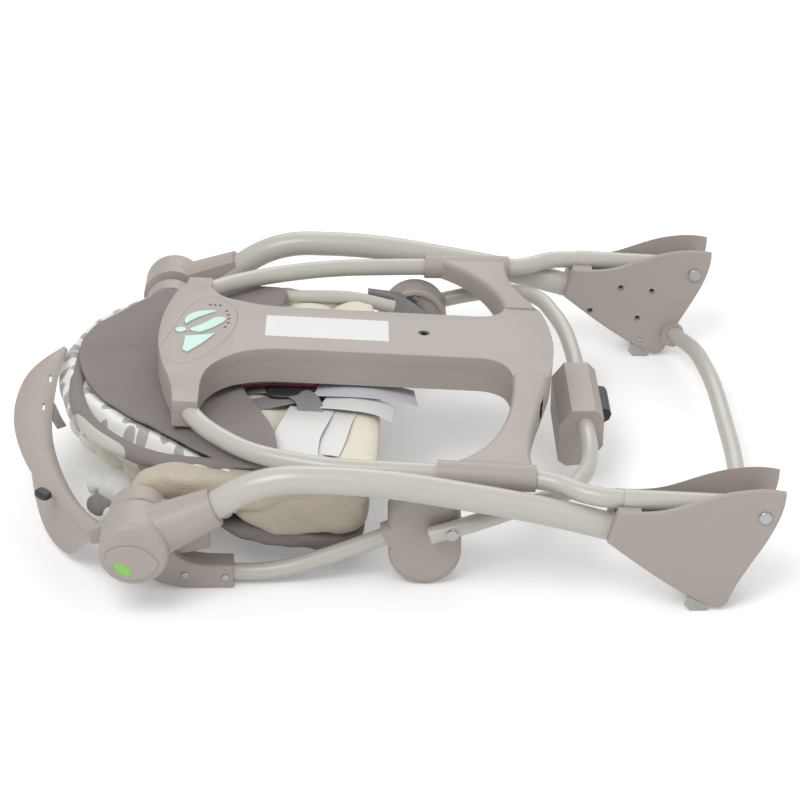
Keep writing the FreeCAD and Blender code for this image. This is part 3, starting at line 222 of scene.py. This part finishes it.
def weave_group():
    """Plain weave: two crossed sine ribs on Object coordinates, over and under by turns."""
    tree, given, result = new_group("weave", [("Threads", "NodeSocketFloat", 1500.0)],
                                    [("Height", "NodeSocketFloat")])
    link = tree.links.new
    place = node_of(tree, "ShaderNodeTexCoord")
    waves = []
    for axis in ("X", "Y"):
        rib = node_of(tree, "ShaderNodeTexWave", bands_direction=axis)
        rib.inputs["Distortion"].default_value = 0.4
        link(place.outputs["Object"], rib.inputs["Vector"])
        link(given.outputs["Threads"], rib.inputs["Scale"])
        waves.append(rib)
    high = node_of(tree, "ShaderNodeMath", operation="MAXIMUM")
    link(waves[0].outputs["Fac"], high.inputs[0])
    link(waves[1].outputs["Fac"], high.inputs[1])
    link(high.outputs[0], result.inputs["Height"])
    return tree


FINISH_SLOT = {}


def finish(name, slot, color, rough, shade=0.15, scale=40, grain=1200, bump=0.1, depth=0.0002, metal=0.0,
           coat=0.0, sheen=0.0, threads=0, glow=None, clear=0.0):
    """A material from the shared groups: mottled colour and roughness, with grain or weave as bump."""
    material = bpy.data.materials.new(name)
    material.use_nodes = True
    tree = material.node_tree
    link = tree.links.new
    shader = tree.nodes["Principled BSDF"]
    mottle = node_of(tree, "ShaderNodeGroup", node_tree=bpy.data.node_groups["mottle"])
    mottle.inputs["Color"].default_value = (*color, 1)
    mottle.inputs["Scale"].default_value = scale
    mottle.inputs["Shade"].default_value = shade
    mottle.inputs["Grain"].default_value = grain
    link(mottle.outputs["Color"], shader.inputs["Base Color"])
    spread = node_of(tree, "ShaderNodeMapRange")
    spread.inputs["To Min"].default_value = max(rough - 0.07, 0.02)
    spread.inputs["To Max"].default_value = min(rough + 0.07, 1.0)
    link(mottle.outputs["Mask"], spread.inputs["Value"])
    link(spread.outputs["Result"], shader.inputs["Roughness"])
    relief = node_of(tree, "ShaderNodeBump")
    relief.inputs["Strength"].default_value = bump
    relief.inputs["Distance"].default_value = depth
    if threads:
        weave = node_of(tree, "ShaderNodeGroup", node_tree=bpy.data.node_groups["weave"])
        weave.inputs["Threads"].default_value = threads
        link(weave.outputs["Height"], relief.inputs["Height"])
    else:
        link(mottle.outputs["Height"], relief.inputs["Height"])
    link(relief.outputs["Normal"], shader.inputs["Normal"])
    shader.inputs["Metallic"].default_value = metal
    shader.inputs["Coat Weight"].default_value = coat
    shader.inputs["Sheen Weight"].default_value = sheen
    shader.inputs["Transmission Weight"].default_value = clear
    FINISH_SLOT[name] = slot
    return material


def paint(piece, material):
    piece.data.materials.clear()
    piece.data.materials.append(material)
    return piece


def dress(piece, material, body, *stands_for):
    """Gives a new piece its finish, its body and the CAD nodes it stands for."""
    paint(piece, bpy.data.materials[material])
    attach(piece, body)
    if stands_for:
        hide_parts(*stands_for)
    return piece


def rounded_copy(node, name, width, angle=35):
    """A welded copy of a CAD node whose sharp edges are rolled over by a bevel."""
    piece = bpy.data.objects.new(name, frame["nodes"][node].data.copy())
    bpy.context.scene.collection.objects.link(piece)
    shape = bmesh.new()
    shape.from_mesh(piece.data)
    bmesh.ops.remove_doubles(shape, verts=shape.verts, dist=2e-5)
    bmesh.ops.dissolve_limit(shape, angle_limit=radians(1.0), verts=shape.verts, edges=shape.edges)
    shape.to_mesh(piece.data)
    shape.free()
    bevel = piece.modifiers.new("rolled edge", "BEVEL")
    bevel.width = width
    bevel.segments = 4
    bevel.limit_method = "ANGLE"
    bevel.angle_limit = radians(angle)
    bevel.harden_normals = False
    piece.data.shade_smooth()
    return piece


# ---------------------------------------------------------------- sizes and colours a user may change
class SwingFinish(bpy.types.PropertyGroup):
    tube: bpy.props.FloatVectorProperty(
        name="Tube paint", description="Powder coat of the steel tubes", subtype="COLOR",
        min=0, max=1, default=(0.55, 0.53, 0.48))
    plastic: bpy.props.FloatVectorProperty(
        name="Moulded plastic", description="Feet, hubs, console and brackets", subtype="COLOR",
        min=0, max=1, default=(0.43, 0.38, 0.345))
    mint: bpy.props.FloatVectorProperty(
        name="Button tint", description="Translucent buttons on the console", subtype="COLOR",
        min=0, max=1, default=(0.50, 0.76, 0.66))
    window: bpy.props.FloatVectorProperty(
        name="Lock window", description="Green window in the hub covers", subtype="COLOR",
        min=0, max=1, default=(0.24, 0.62, 0.10))
    pocket: bpy.props.FloatVectorProperty(
        name="Pocket cloth", description="Dark cloth of the seat back", subtype="COLOR",
        min=0, max=1, default=(0.27, 0.235, 0.23))
    cream: bpy.props.FloatVectorProperty(
        name="Quilted cloth", description="Head pillow and seat lining", subtype="COLOR",
        min=0, max=1, default=(0.80, 0.745, 0.63))
    plush: bpy.props.FloatVectorProperty(
        name="Plush", description="Short pile on the sides and leg part", subtype="COLOR",
        min=0, max=1, default=(0.56, 0.50, 0.405))


class SwingSizes(bpy.types.PropertyGroup):
    edge_roll: bpy.props.FloatProperty(
        name="Console edge", description="Rolled edge of the console's upper shell", unit="LENGTH", default=0.006)
    piping: bpy.props.FloatProperty(
        name="Piping radius", description="Sewn piping round the pocket", unit="LENGTH", default=0.0018)
    band_drop: bpy.props.FloatProperty(
        name="Band height", description="Printed band below the pocket's seam", unit="LENGTH", default=0.040)
    scallops: bpy.props.IntProperty(
        name="Scallops", description="Sewn scallops of the head pillow", default=15, min=4, max=30)


# ---------------------------------------------------------------- finishes of the CAD nodes
SLOT_OF = {part["node"]: part["material_slot"] for part in frame["record"]["subparts"]}


def leaf_print(material, ground, leaf):
    """Grey leaf shapes on a pale ground: stretched cells of a Voronoi pattern on the band's own UV."""
    tree = material.node_tree
    link = tree.links.new
    place = node_of(tree, "ShaderNodeTexCoord")
    turn = node_of(tree, "ShaderNodeMapping")
    turn.inputs["Rotation"].default_value = (0, 0, radians(32))
    turn.inputs["Scale"].default_value = (52, 26, 1)
    link(place.outputs["UV"], turn.inputs["Vector"])
    cells = node_of(tree, "ShaderNodeTexVoronoi", feature="F1", voronoi_dimensions="2D")
    cells.inputs["Scale"].default_value = 1.0
    cells.inputs["Randomness"].default_value = 0.75
    link(turn.outputs["Vector"], cells.inputs["Vector"])
    ramp = node_of(tree, "ShaderNodeMapRange", interpolation_type="SMOOTHSTEP")
    ramp.inputs["From Min"].default_value = 0.30
    ramp.inputs["From Max"].default_value = 0.36
    link(cells.outputs["Distance"], ramp.inputs["Value"])
    mix = node_of(tree, "ShaderNodeMix", data_type="RGBA")
    mix.inputs["A"].default_value = (*leaf, 1)
    mix.inputs["B"].default_value = (*ground, 1)
    link(ramp.outputs["Result"], mix.inputs["Factor"])
    link(mix.outputs["Result"], tree.nodes["Principled BSDF"].inputs["Base Color"])


class SWING_OT_finishes(bpy.types.Operator):
    """Makes every material and puts it on the CAD nodes"""
    bl_idname = "swing.finishes"
    bl_label = "Finishes"

    def execute(self, context):
        look = context.scene.swing_finish
        mottle_group()
        weave_group()
        tube, plastic = tuple(look.tube), tuple(look.plastic)
        finish("tube paint", "frame_tube", tube, 0.34, shade=0.08, scale=30, grain=2500, bump=0.05, coat=0.25)
        finish("moulded plastic", "grey_plastic", plastic, 0.46, shade=0.10, scale=25, grain=3200, bump=0.12)
        finish("dark plastic", "dark_plastic", (0.035, 0.035, 0.037), 0.42, shade=0.2, grain=3000)
        finish("mint plastic", "mint_plastic", tuple(look.mint), 0.30, shade=0.05, grain=2000, bump=0.03, coat=0.3)
        finish("green window", "green_window", tuple(look.window), 0.18, shade=0.05, bump=0.02, coat=0.6)
        finish("clear bumper", "clear_rubber", (0.72, 0.71, 0.68), 0.25, shade=0.1, bump=0.03, clear=0.6)
        finish("zinc steel", "steel", (0.56, 0.56, 0.57), 0.32, shade=0.25, scale=90, grain=2600, metal=1.0)
        finish("natural nylon", "nylon", (0.80, 0.78, 0.72), 0.45, shade=0.1)
        finish("cell jacket", "cell_wrap", (0.05, 0.06, 0.08), 0.25, metal=0.6, coat=0.4)
        finish("circuit board", "circuit", (0.02, 0.16, 0.07), 0.4, shade=0.3, scale=300)
        finish("label film", "label_film", (0.74, 0.74, 0.725), 0.42, shade=0.05, bump=0.02)
        finish("pocket cloth", "pocket_cloth", tuple(look.pocket), 0.85, shade=0.28, scale=18, threads=640,
               bump=0.35, depth=0.0004, sheen=0.12)
        finish("quilted cloth", "cream_quilt", tuple(look.cream), 0.88, shade=0.16, scale=22, grain=700,
               bump=0.35, depth=0.0005, sheen=0.15)
        finish("beige pile", "beige_plush", tuple(look.plush), 0.95, shade=0.30, scale=60, grain=520, bump=0.8,
               depth=0.0012, sheen=0.35)
        finish("grey webbing", "webbing", (0.30, 0.29, 0.285), 0.75, shade=0.2, threads=900, bump=0.5, depth=0.0004)
        finish("white plush", "white_plush", (0.84, 0.83, 0.80), 0.95, shade=0.12, scale=70, grain=600,
               bump=0.7, depth=0.001, sheen=0.3)
        finish("grey plush", "white_plush", (0.30, 0.29, 0.285), 0.95, shade=0.2, scale=70, grain=600,
               bump=0.7, depth=0.001, sheen=0.3)
        finish("tag edge", "label_film", (0.62, 0.09, 0.11), 0.5, shade=0.05)
        finish("label shade", "label_film", (0.60, 0.60, 0.66), 0.5, shade=0.05)
        finish("sticker end", "label_film", (0.075, 0.075, 0.08), 0.4, shade=0.05)
        band = finish("printed band", "cream_quilt", (0.84, 0.83, 0.80), 0.9, shade=0.1, grain=800, bump=0.3,
                      depth=0.0004, sheen=0.15)
        leaf_print(band, (0.84, 0.83, 0.80), (0.42, 0.415, 0.40))
        own = {"control_panel": "moulded plastic", "fold_pins": "zinc steel", "light_windows": "dark plastic"}
        for name, node in frame["nodes"].items():
            first = next(key for key, slot in FINISH_SLOT.items() if slot == SLOT_OF[name])
            paint(node, bpy.data.materials[own.get(name, first)])
        return {"FINISHED"}


# ---------------------------------------------------------------- console
class SWING_OT_console(bpy.types.Operator):
    """Rolls the edges of the console's upper shell, the yoke arms and the hub shells"""
    bl_idname = "swing.console"
    bl_label = "Moulded shells"

    def execute(self, context):
        roll = context.scene.swing_sizes.edge_roll
        for node, name, width, body in (("console_top", "console_upper_moulding", roll, "ring"),
                                        ("yoke_arms", "yoke_arm_mouldings", 0.0015, "ring"),
                                        ("hub_outer_shells", "hub_outer_mouldings", 0.003, "stand"),
                                        ("hub_inner_shells", "hub_inner_mouldings", 0.003, "stand")):
            dress(rounded_copy(node, name, width), "moulded plastic", body, node)
        return {"FINISHED"}


# ---------------------------------------------------------------- seat
# Edge of the dark pocket, stretched over the back loop, seen from above.
POCKET_EDGE = [(-474, 0, 108), (-462, 60, 107), (-444, 112, 106), (-430, 155, 104), (-436, 182, 102),
               (-490, 188, 104), (-537, 173, 106), (-575, 148, 108), (-606, 108, 109), (-622, 66, 110),
               (-626, 20, 110), (-618, -22, 110), (-602, -58, 109), (-572, -94, 108), (-532, -132, 106),
               (-500, -163, 104), (-468, -186, 102), (-436, -184, 101), (-430, -150, 103), (-446, -96, 106),
               (-462, -52, 107)]
HEAD_EDGE = POCKET_EDGE[5:17]
LOOP = [(-450, 179.4, 97), (-486, 178, 98), (-530, 171, 99.3), (-563, 152, 100), (-592, 122, 101), (-611, 90, 101.5),
        (-620, 60, 102), (-624, 20, 102), (-624, -20, 102), (-620, -60, 102), (-611, -90, 101.5), (-592, -122, 101),
        (-563, -152, 100), (-530, -171, 99.3), (-486, -178, 98), (-450, -179.4, 97)]
HEAD_MIDDLE = at([(-500, 0, 100)])[0]


def outward(path):
    """Horizontal unit directions away from the seat's middle."""
    away = path - HEAD_MIDDLE
    away[:, 2] = 0
    return away / np.linalg.norm(away, axis=1)[:, None]


class SWING_OT_pocket(bpy.types.Operator):
    """Dark pocket cloth over the back loop, with piping and the printed band below its seam"""
    bl_idname = "swing.pocket"
    bl_label = "Back pocket"

    def execute(self, context):
        sizes = context.scene.swing_sizes
        edge = smooth_path(at(POCKET_EDGE), 240, closed=True)

        def drape(p):
            middle = edge.mean(0)
            reach = np.clip(1 - np.linalg.norm((p - middle)[..., :2] / (0.10, 0.18), axis=-1), 0, 1)
            lift = -0.004 * reach + crumple(p, 0.13, 0.0026, 3) + crumple(p, 0.05, 0.0009, 4)
            top = p[..., 2] > 0.097
            return (lift * top)[..., None] * np.array([0, 0, 1.0])
        pocket = pillow_form("back_pocket", edge, edge.mean(0), 0.006, 0.003, edge=0.22, shape=drape, steps=60)
        dress(pocket, "pocket cloth", "seat", "back_panel")
        sleeve = rope("loop_sleeve", smooth_path(at(LOOP), 220), 0.0082, sides=20)
        dress(sleeve, "pocket cloth", "seat")
        rim = smooth_path(at(HEAD_EDGE), 160)
        seam = rim + outward(rim) * 0.0025 + np.array([0, 0, -0.005])
        dress(rope("pocket_piping", seam, sizes.piping), "pocket cloth", "seat")
        drop = sizes.band_drop
        levels = [(-0.001, -0.004), (0.009, -0.002), (0.017, -0.012), (0.021, -0.5 * drop), (0.018, -0.9 * drop),
                  (0.008, -drop - 0.004), (-0.006, -drop - 0.004), (-0.012, -drop), (-0.010, -0.010)]
        away = outward(rim)
        grid = np.stack([rim + away * out + np.array([0, 0, down]) for out, down in levels])
        grid = smooth_path(grid.reshape(len(levels), -1), 48, closed=True).reshape(48, 160, 3)
        grid = grid + (crumple(grid, 0.05, 0.0016, 9))[..., None] * away[None]
        along = np.concatenate([[0], np.cumsum(np.linalg.norm(np.diff(rim, axis=0), axis=1))])
        uv = np.stack(np.broadcast_arrays(along[None, :], np.linspace(0, 2.4 * drop, 48)[:, None]), -1)
        closed = np.concatenate([grid.mean(0)[None, :1].repeat(48, 0), grid, grid.mean(0)[None, -1:].repeat(48, 0)], 1)
        uv = np.concatenate([uv[:, :1], uv, uv[:, -1:]], 1)
        band = skin("printed_band", closed, wrap_u=True, uv=uv)
        dress(band, "printed band", "seat")
        return {"FINISHED"}


class SWING_OT_pillow(bpy.types.Operator):
    """Quilted head pillow: a scalloped roll round the head end, over its flat middle"""
    bl_idname = "swing.pillow"
    bl_label = "Head pillow"

    def execute(self, context):
        count = context.scene.swing_sizes.scallops
        rim = smooth_path(at(HEAD_EDGE), 260)
        centre = rim + outward(rim) * -0.006 + np.array([0, 0, -0.046])
        t = np.linspace(0, 1, len(rim))
        puff = 0.72 + 0.28 * np.abs(np.sin(pi * count * t)) ** 0.5
        puff = puff * np.clip(np.minimum(t, 1 - t) * 14, 0.05, 1) ** 0.5
        angle = np.linspace(0, 2 * pi, 36, endpoint=False)
        away = outward(rim)
        wide = (0.024 * puff)[None, :, None] * np.cos(angle)[:, None, None] * away[None]
        tall = (0.017 * puff)[None, :, None] * np.sin(angle)[:, None, None] * np.array([0, 0, 1.0])
        grid = centre[None] + wide + tall
        grid = grid + crumple(grid, 0.03, 0.0007, 12)[..., None] * away[None]
        grid[:, 0] = grid[:, 0].mean(0)
        grid[:, -1] = grid[:, -1].mean(0)
        roll = skin("head_pillow_roll", grid, wrap_u=True)
        dress(roll, "quilted cloth", "seat", "head_pillow")
        inside = smooth_path(at([(x, y, 74) for x, y, _ in POCKET_EDGE]), 160, closed=True)
        middle = inside.mean(0)
        inside = middle + (inside - middle) * 0.9

        def quilt(p):
            cells = np.abs(np.sin(p[..., 0] * pi / 0.028) * np.sin(p[..., 1] * pi / 0.028)) ** 0.4
            return (0.004 * (cells - 0.6) * np.sign(p[..., 2] - 0.074))[..., None] * np.array([0, 0, 1.0])
        pad = pillow_form("head_pillow_middle", inside, middle, 0.016, 0.016, edge=0.35, shape=quilt, steps=60)
        dress(pad, "quilted cloth", "seat")
        return {"FINISHED"}


def upright_pad(name, outline, y_near, y_far, material, seed, *stands_for):
    """A padded form seen from the side: a crowned outline in the XZ plane, between two widths."""
    thick = abs(y_far - y_near) / 2 * MM
    mid_y = (y_near + y_far) / 2 * MM
    edge = smooth_path(at([(x, 0, z) for x, z in outline]), 180, closed=True)
    steps = 44
    angle = np.linspace(pi / 2, -pi / 2, steps)
    spread = np.abs(np.cos(angle)) ** 0.45
    rise = np.sign(np.sin(angle)) * np.abs(np.sin(angle)) ** 0.6
    middle = edge.mean(0)
    grid = middle + (edge[None] - middle) * spread[:, None, None]
    grid[..., 1] = mid_y + thick * rise[:, None]
    fold = crumple(grid, 0.07, 0.0035, seed) + crumple(grid, 0.028, 0.0012, seed + 1)
    grid[..., 1] += fold * 0.6
    grid[..., 2] += fold * 0.5
    grid[0] = grid[0].mean(0)
    grid[-1] = grid[-1].mean(0)
    piece = skin(name, grid, wrap_v=True)
    dress(piece, material, "seat", *stands_for)
    return piece


SIDE_WALL = [(-560, 82), (-548, 98), (-515, 102), (-470, 100), (-420, 95), (-372, 90), (-350, 82), (-352, 70),
             (-400, 70), (-455, 70), (-500, 66), (-535, 70)]
SIDE_ROLL = [(-470, 70), (-455, 86), (-410, 88), (-368, 86), (-349, 74), (-346, 56), (-356, 40), (-400, 34),
             (-440, 42), (-465, 56)]


class SWING_OT_sides(bpy.types.Operator):
    """Plush side walls and the folded leg part, with the dark trim below"""
    bl_idname = "swing.sides"
    bl_label = "Plush sides"

    def execute(self, context):
        for side, word in ((-1, "right"), (1, "left")):
            stands_for = ("side_bolsters",) if side < 0 else ()
            upright_pad("side_wall_" + word, SIDE_WALL, side * 207, side * 170, "beige pile", 20 + side, *stands_for)
            upright_pad("leg_roll_" + word, SIDE_ROLL, side * 207, side * 150, "beige pile", 30 + side)
            upright_pad("trim_" + word, [(-482, 42), (-470, 34), (-420, 24), (-366, 20), (-352, 26), (-356, 38),
                                         (-410, 40), (-450, 50)], side * 202, side * 150, "pocket cloth", 40 + side)
        outline = [(-450, -150, 52), (-352, -150, 52), (-346, 0, 52), (-352, 150, 52), (-450, 150, 52), (-458, 0, 52)]
        edge = smooth_path(at(outline), 160, closed=True)

        def folds(p):
            return (crumple(p, 0.08, 0.003, 51))[..., None] * np.array([0, 0, 1.0])
        pad = pillow_form("leg_pad_cloth", edge, edge.mean(0), 0.020, 0.018, edge=0.35, shape=folds)
        dress(pad, "beige pile", "seat", "leg_pad")
        return {"FINISHED"}


class SWING_OT_lining(bpy.types.Operator):
    """Cream lining of the seat, sewn in rounded channels across its width"""
    bl_idname = "swing.lining"
    bl_label = "Seat lining"

    def execute(self, context):
        outline = [(-474, -168, 84), (-400, -172, 84), (-350, -170, 84), (-338, -150, 84), (-334, 0, 84),
                   (-338, 150, 84), (-350, 170, 84), (-400, 172, 84), (-474, 168, 84), (-480, 0, 84)]
        edge = smooth_path(at(outline), 220, closed=True)

        def channels(p):
            sewn = np.abs(np.sin((p[..., 0] - PIN_X + 0.334) * pi / 0.047)) ** 0.45
            up = np.sign(p[..., 2] - 0.084)
            rise = (0.008 * (sewn - 0.75) + crumple(p, 0.06, 0.0012, 61)) * up
            return rise[..., None] * np.array([0, 0, 1.0])
        pad = pillow_form("seat_lining_cloth", edge, edge.mean(0), 0.010, 0.012, edge=0.3, shape=channels, steps=90)
        dress(pad, "quilted cloth", "seat", "seat_lining")
        return {"FINISHED"}


# ---------------------------------------------------------------- harness, labels and toy
class SWING_OT_harness(bpy.types.Operator):
    """Grey webbing folded over the lining, with its slotted buckle"""
    bl_idname = "swing.harness"
    bl_label = "Harness"

    def execute(self, context):
        runs = {
            "webbing_cross": [(-470, -26, 97), (-450, -30, 101), (-428, -36, 103), (-408, -44, 101), (-396, -56, 96)],
            "webbing_waist": [(-466, -62, 97), (-440, -58, 100), (-414, -50, 102), (-398, -34, 100), (-388, -14, 97)],
            "webbing_tail": [(-414, -46, 104), (-404, -62, 105), (-400, -78, 102), (-402, -92, 96)]}
        for number, (name, points) in enumerate(runs.items()):
            path = smooth_path(at(points), 60)
            piece = strap(name, path, 0.024, 0.0016)
            dress(piece, "grey webbing", "seat", *(("harness_webbing",) if number == 0 else ()))
        slab = smooth_path(at([(-440, -22, 101), (-440, -52, 101), (-412, -54, 101), (-412, -24, 101)]), 64, closed=True)
        buckle = pillow_form("buckle_body", slab, slab.mean(0), 0.005, 0.003, edge=0.25, steps=24)
        dress(buckle, "dark plastic", "seat", "harness_buckle")
        prongs = smooth_path(at([(-411, -30, 102), (-396, -31, 102), (-396, -47, 102), (-411, -48, 102)]), 48, closed=True)
        dress(pillow_form("buckle_prongs", prongs, prongs.mean(0), 0.003, 0.003, edge=0.3, steps=20),
              "dark plastic", "seat")
        return {"FINISHED"}


def hanging_label(name, points, width, material, body="seat", up=(0, 0, 1)):
    """A plain label: thin film along a curve."""
    path = smooth_path(at(points), 50)
    piece = strap(name, path, width, 0.0004, up=up)
    dress(piece, material, body)
    return piece


class SWING_OT_labels(bpy.types.Operator):
    """Plain sewn labels and the tag, with nothing on them"""
    bl_idname = "swing.labels"
    bl_label = "Labels"

    def execute(self, context):
        hanging_label("care_label", [(-398, -70, 100), (-404, -100, 104), (-412, -130, 102), (-414, -158, 97)],
                      0.044, "label film")
        hanging_label("care_label_under", [(-372, -64, 98), (-380, -96, 101), (-386, -128, 99), (-392, -150, 95)],
                      0.040, "label film")
        hanging_label("long_label", [(-396, -38, 104), (-372, -44, 107), (-344, -46, 106), (-318, -44, 100),
                                     (-300, -42, 94)], 0.034, "label shade")
        hanging_label("long_label_front", [(-388, -62, 103), (-362, -70, 105), (-338, -72, 101), (-322, -74, 94)],
                      0.030, "label film")
        hanging_label("tag_border", [(-474, -24, 105), (-440, -24, 108), (-394, -24, 106)], 0.030, "tag edge")
        hanging_label("tag_face", [(-471, -24, 106), (-440, -24, 109), (-397, -24, 107)], 0.024, "label film")
        return {"FINISHED"}


def toy_part(name, middle, radii, seed, material, seams=0):
    """A stuffed ball: an ellipsoid whose surface is pulled in along sewn meridians and slightly uneven."""
    lat = np.linspace(pi / 2, -pi / 2, 40)[:, None]
    lon = np.linspace(0, 2 * pi, 56, endpoint=False)[None, :]
    unit = np.stack(np.broadcast_arrays(np.cos(lat) * np.cos(lon), np.cos(lat) * np.sin(lon), np.sin(lat)), -1)
    pull = 1.0
    if seams:
        pull = 1 - 0.16 * np.cos(lat) * (1 - np.abs(np.sin(seams * lon / 2)) ** 0.5)
        pull = pull[..., None]
    grid = at([middle])[0] + unit * pull * np.array(radii) * MM
    grid = grid + crumple(grid, 0.02, 0.0008, seed)[..., None] * unit
    grid[0] = grid[0].mean(0)
    grid[-1] = grid[-1].mean(0)
    return dress(skin(name, grid, wrap_v=True), material, "seat")


class SWING_OT_toy(bpy.types.Operator):
    """Plush toy lying under the pillow: white body, scalloped grey petals and a plain tag"""
    bl_idname = "swing.toy"
    bl_label = "Plush toy"

    def execute(self, context):
        body = toy_part("toy_body", (-572, -104, 34), (30, 26, 22), 70, "white plush", seams=6)
        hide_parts("plush_toy")
        for number, (x, y, z, r) in enumerate([(-600, -96, 34, 13), (-598, -118, 25, 13), (-584, -132, 20, 12),
                                               (-545, -92, 40, 12), (-540, -112, 34, 12)]):
            petal = toy_part(f"toy_petal_{number}", (x, y, z), (r, r, r * 0.8), 80 + number,
                             "grey plush" if number % 2 else "white plush", seams=5)
        loop = smooth_path(at([(-566, -92, 52), (-556, -86, 60), (-544, -92, 64), (-540, -104, 58)]), 30)
        dress(rope("toy_loop", loop, 0.0016), "grey webbing", "seat")
        path = smooth_path(at([(-562, -108, 56), (-556, -122, 50), (-552, -136, 40), (-550, -146, 30)]), 40)
        tag = strap("toy_tag", path, 0.020, 0.0004)
        dress(tag, "label film", "seat")
        return {"FINISHED"}


class SWING_OT_toy_strap(bpy.types.Operator):
    """Strap from the toy bar's slot to the head pillow, and the clip on the paddle"""
    bl_idname = "swing.toy_strap"
    bl_label = "Toy strap"

    def execute(self, context):
        path = smooth_path(at([(-654, -40, 98), (-648, -48, 92), (-642, -60, 86), (-636, -68, 80)]), 40)
        dress(strap("toy_strap", path, 0.010, 0.0014), "grey webbing", "toy_bar")
        clip = smooth_path(at([(-650, -176, 66), (-640, -186, 66), (-634, -178, 66), (-644, -168, 66)]), 40, closed=True)
        dress(pillow_form("toy_clip", clip, clip.mean(0), 0.008, 0.006, edge=0.3, steps=20), "dark plastic", "toy_bar")
        return {"FINISHED"}


# ---------------------------------------------------------------- stage
class SWING_OT_stage(bpy.types.Operator):
    """Pale floor, white surround, soft lamps and the camera"""
    bl_idname = "swing.stage"
    bl_label = "Stage"

    def execute(self, context):
        scene = context.scene
        scene.view_settings.view_transform = "Standard"
        mesh = bpy.data.meshes.new("floor")
        reach = 14.0
        mesh.from_pydata([(-reach, -reach, 0), (reach, -reach, 0), (reach, reach, 0), (-reach, reach, 0)], [],
                         [(0, 1, 2, 3)])
        floor = bpy.data.objects.new("floor", mesh)
        floor.location.z = -0.0004
        scene.collection.objects.link(floor)
        ground = bpy.data.materials.new("floor paint")
        ground.use_nodes = True
        shader = ground.node_tree.nodes["Principled BSDF"]
        shader.inputs["Base Color"].default_value = (0.93, 0.93, 0.93, 1)
        shader.inputs["Roughness"].default_value = 0.9
        shader.inputs["Specular IOR Level"].default_value = 0.1
        shader.inputs["Emission Color"].default_value = (1, 1, 1, 1)
        path = node_of(ground.node_tree, "ShaderNodeLightPath")
        lift = node_of(ground.node_tree, "ShaderNodeMath", operation="MULTIPLY")
        lift.inputs[1].default_value = 0.18
        ground.node_tree.links.new(path.outputs["Is Camera Ray"], lift.inputs[0])
        ground.node_tree.links.new(lift.outputs[0], shader.inputs["Emission Strength"])
        mesh.materials.append(ground)
        self.surround(scene)
        self.lamp("key", (-0.9, -1.6, 2.6), (0.0, 0.0, 0.05), 1.6, 40)
        self.lamp("fill", (1.8, -1.0, 1.8), (0.0, 0.0, 0.05), 2.4, 10)
        self.lamp("back", (0.2, 2.2, 1.9), (0.0, 0.0, 0.05), 2.2, 20)
        eye = bpy.data.cameras.new("camera")
        eye.lens = 108
        eye.sensor_width = 36
        eye.clip_end = 60
        camera = bpy.data.objects.new("camera", eye)
        camera.location = (PIN_X - 0.3478, -2.067, 1.172)
        camera.rotation_euler = (radians(90 - 28.053), 0, radians(-0.918))
        scene.collection.objects.link(camera)
        scene.camera = camera
        return {"FINISHED"}

    def surround(self, scene):
        """World: even white light, and plain white where the camera, gloss and glass see it."""
        world = bpy.data.worlds.new("surround")
        world.use_nodes = True
        tree = world.node_tree
        back = tree.nodes["Background"]
        back.inputs["Color"].default_value = (1, 1, 1, 1)
        path = node_of(tree, "ShaderNodeLightPath")
        seen = node_of(tree, "ShaderNodeMath", operation="MAXIMUM")
        level = node_of(tree, "ShaderNodeMapRange")
        level.inputs["To Min"].default_value = 0.55
        level.inputs["To Max"].default_value = 1.0
        tree.links.new(path.outputs["Is Camera Ray"], seen.inputs[0])
        tree.links.new(path.outputs["Is Transmission Ray"], seen.inputs[1])
        tree.links.new(seen.outputs[0], level.inputs["Value"])
        tree.links.new(level.outputs["Result"], back.inputs["Strength"])
        scene.world = world

    def lamp(self, name, place, target, size, power):
        light = bpy.data.lights.new(name, "AREA")
        light.shape = "DISK"
        light.size = size
        light.energy = power
        lamp = bpy.data.objects.new(name, light)
        way = np.array(target) - np.array(place)
        lamp.location = place
        lamp.rotation_euler = (float(np.arctan2(np.hypot(way[0], way[1]), -way[2])), 0,
                               float(np.arctan2(way[1], way[0]) - pi / 2))
        bpy.context.scene.collection.objects.link(lamp)


class SWING_PT_parts(bpy.types.Panel):
    """Lists the swing's sizes, colours and pieces"""
    bl_label = "Folding baby swing"
    bl_idname = "SWING_PT_parts"
    bl_space_type = "VIEW_3D"
    bl_region_type = "UI"
    bl_category = "Swing"

    def draw(self, context):
        for group in (context.scene.swing_finish, context.scene.swing_sizes):
            for name in group.bl_rna.properties.keys():
                if name not in ("rna_type", "name"):
                    self.layout.prop(group, name)
        for operator in OPERATORS:
            self.layout.operator(operator.bl_idname)


OPERATORS = (SWING_OT_stage, SWING_OT_finishes, SWING_OT_console, SWING_OT_pocket, SWING_OT_pillow, SWING_OT_sides,
             SWING_OT_lining, SWING_OT_harness, SWING_OT_labels, SWING_OT_toy, SWING_OT_toy_strap)
CLASSES = (SwingFinish, SwingSizes) + OPERATORS + (SWING_PT_parts,)


def register():
    for part in CLASSES:
        bpy.utils.register_class(part)
    bpy.types.Scene.swing_finish = bpy.props.PointerProperty(type=SwingFinish)
    bpy.types.Scene.swing_sizes = bpy.props.PointerProperty(type=SwingSizes)


def unregister():
    del bpy.types.Scene.swing_sizes
    del bpy.types.Scene.swing_finish
    for part in reversed(CLASSES):
        bpy.utils.unregister_class(part)


def main():
    register()
    for operator in OPERATORS:
        group, name = operator.bl_idname.split(".")
        getattr(getattr(bpy.ops, group), name)()


if __name__ == "__main__":
    main()
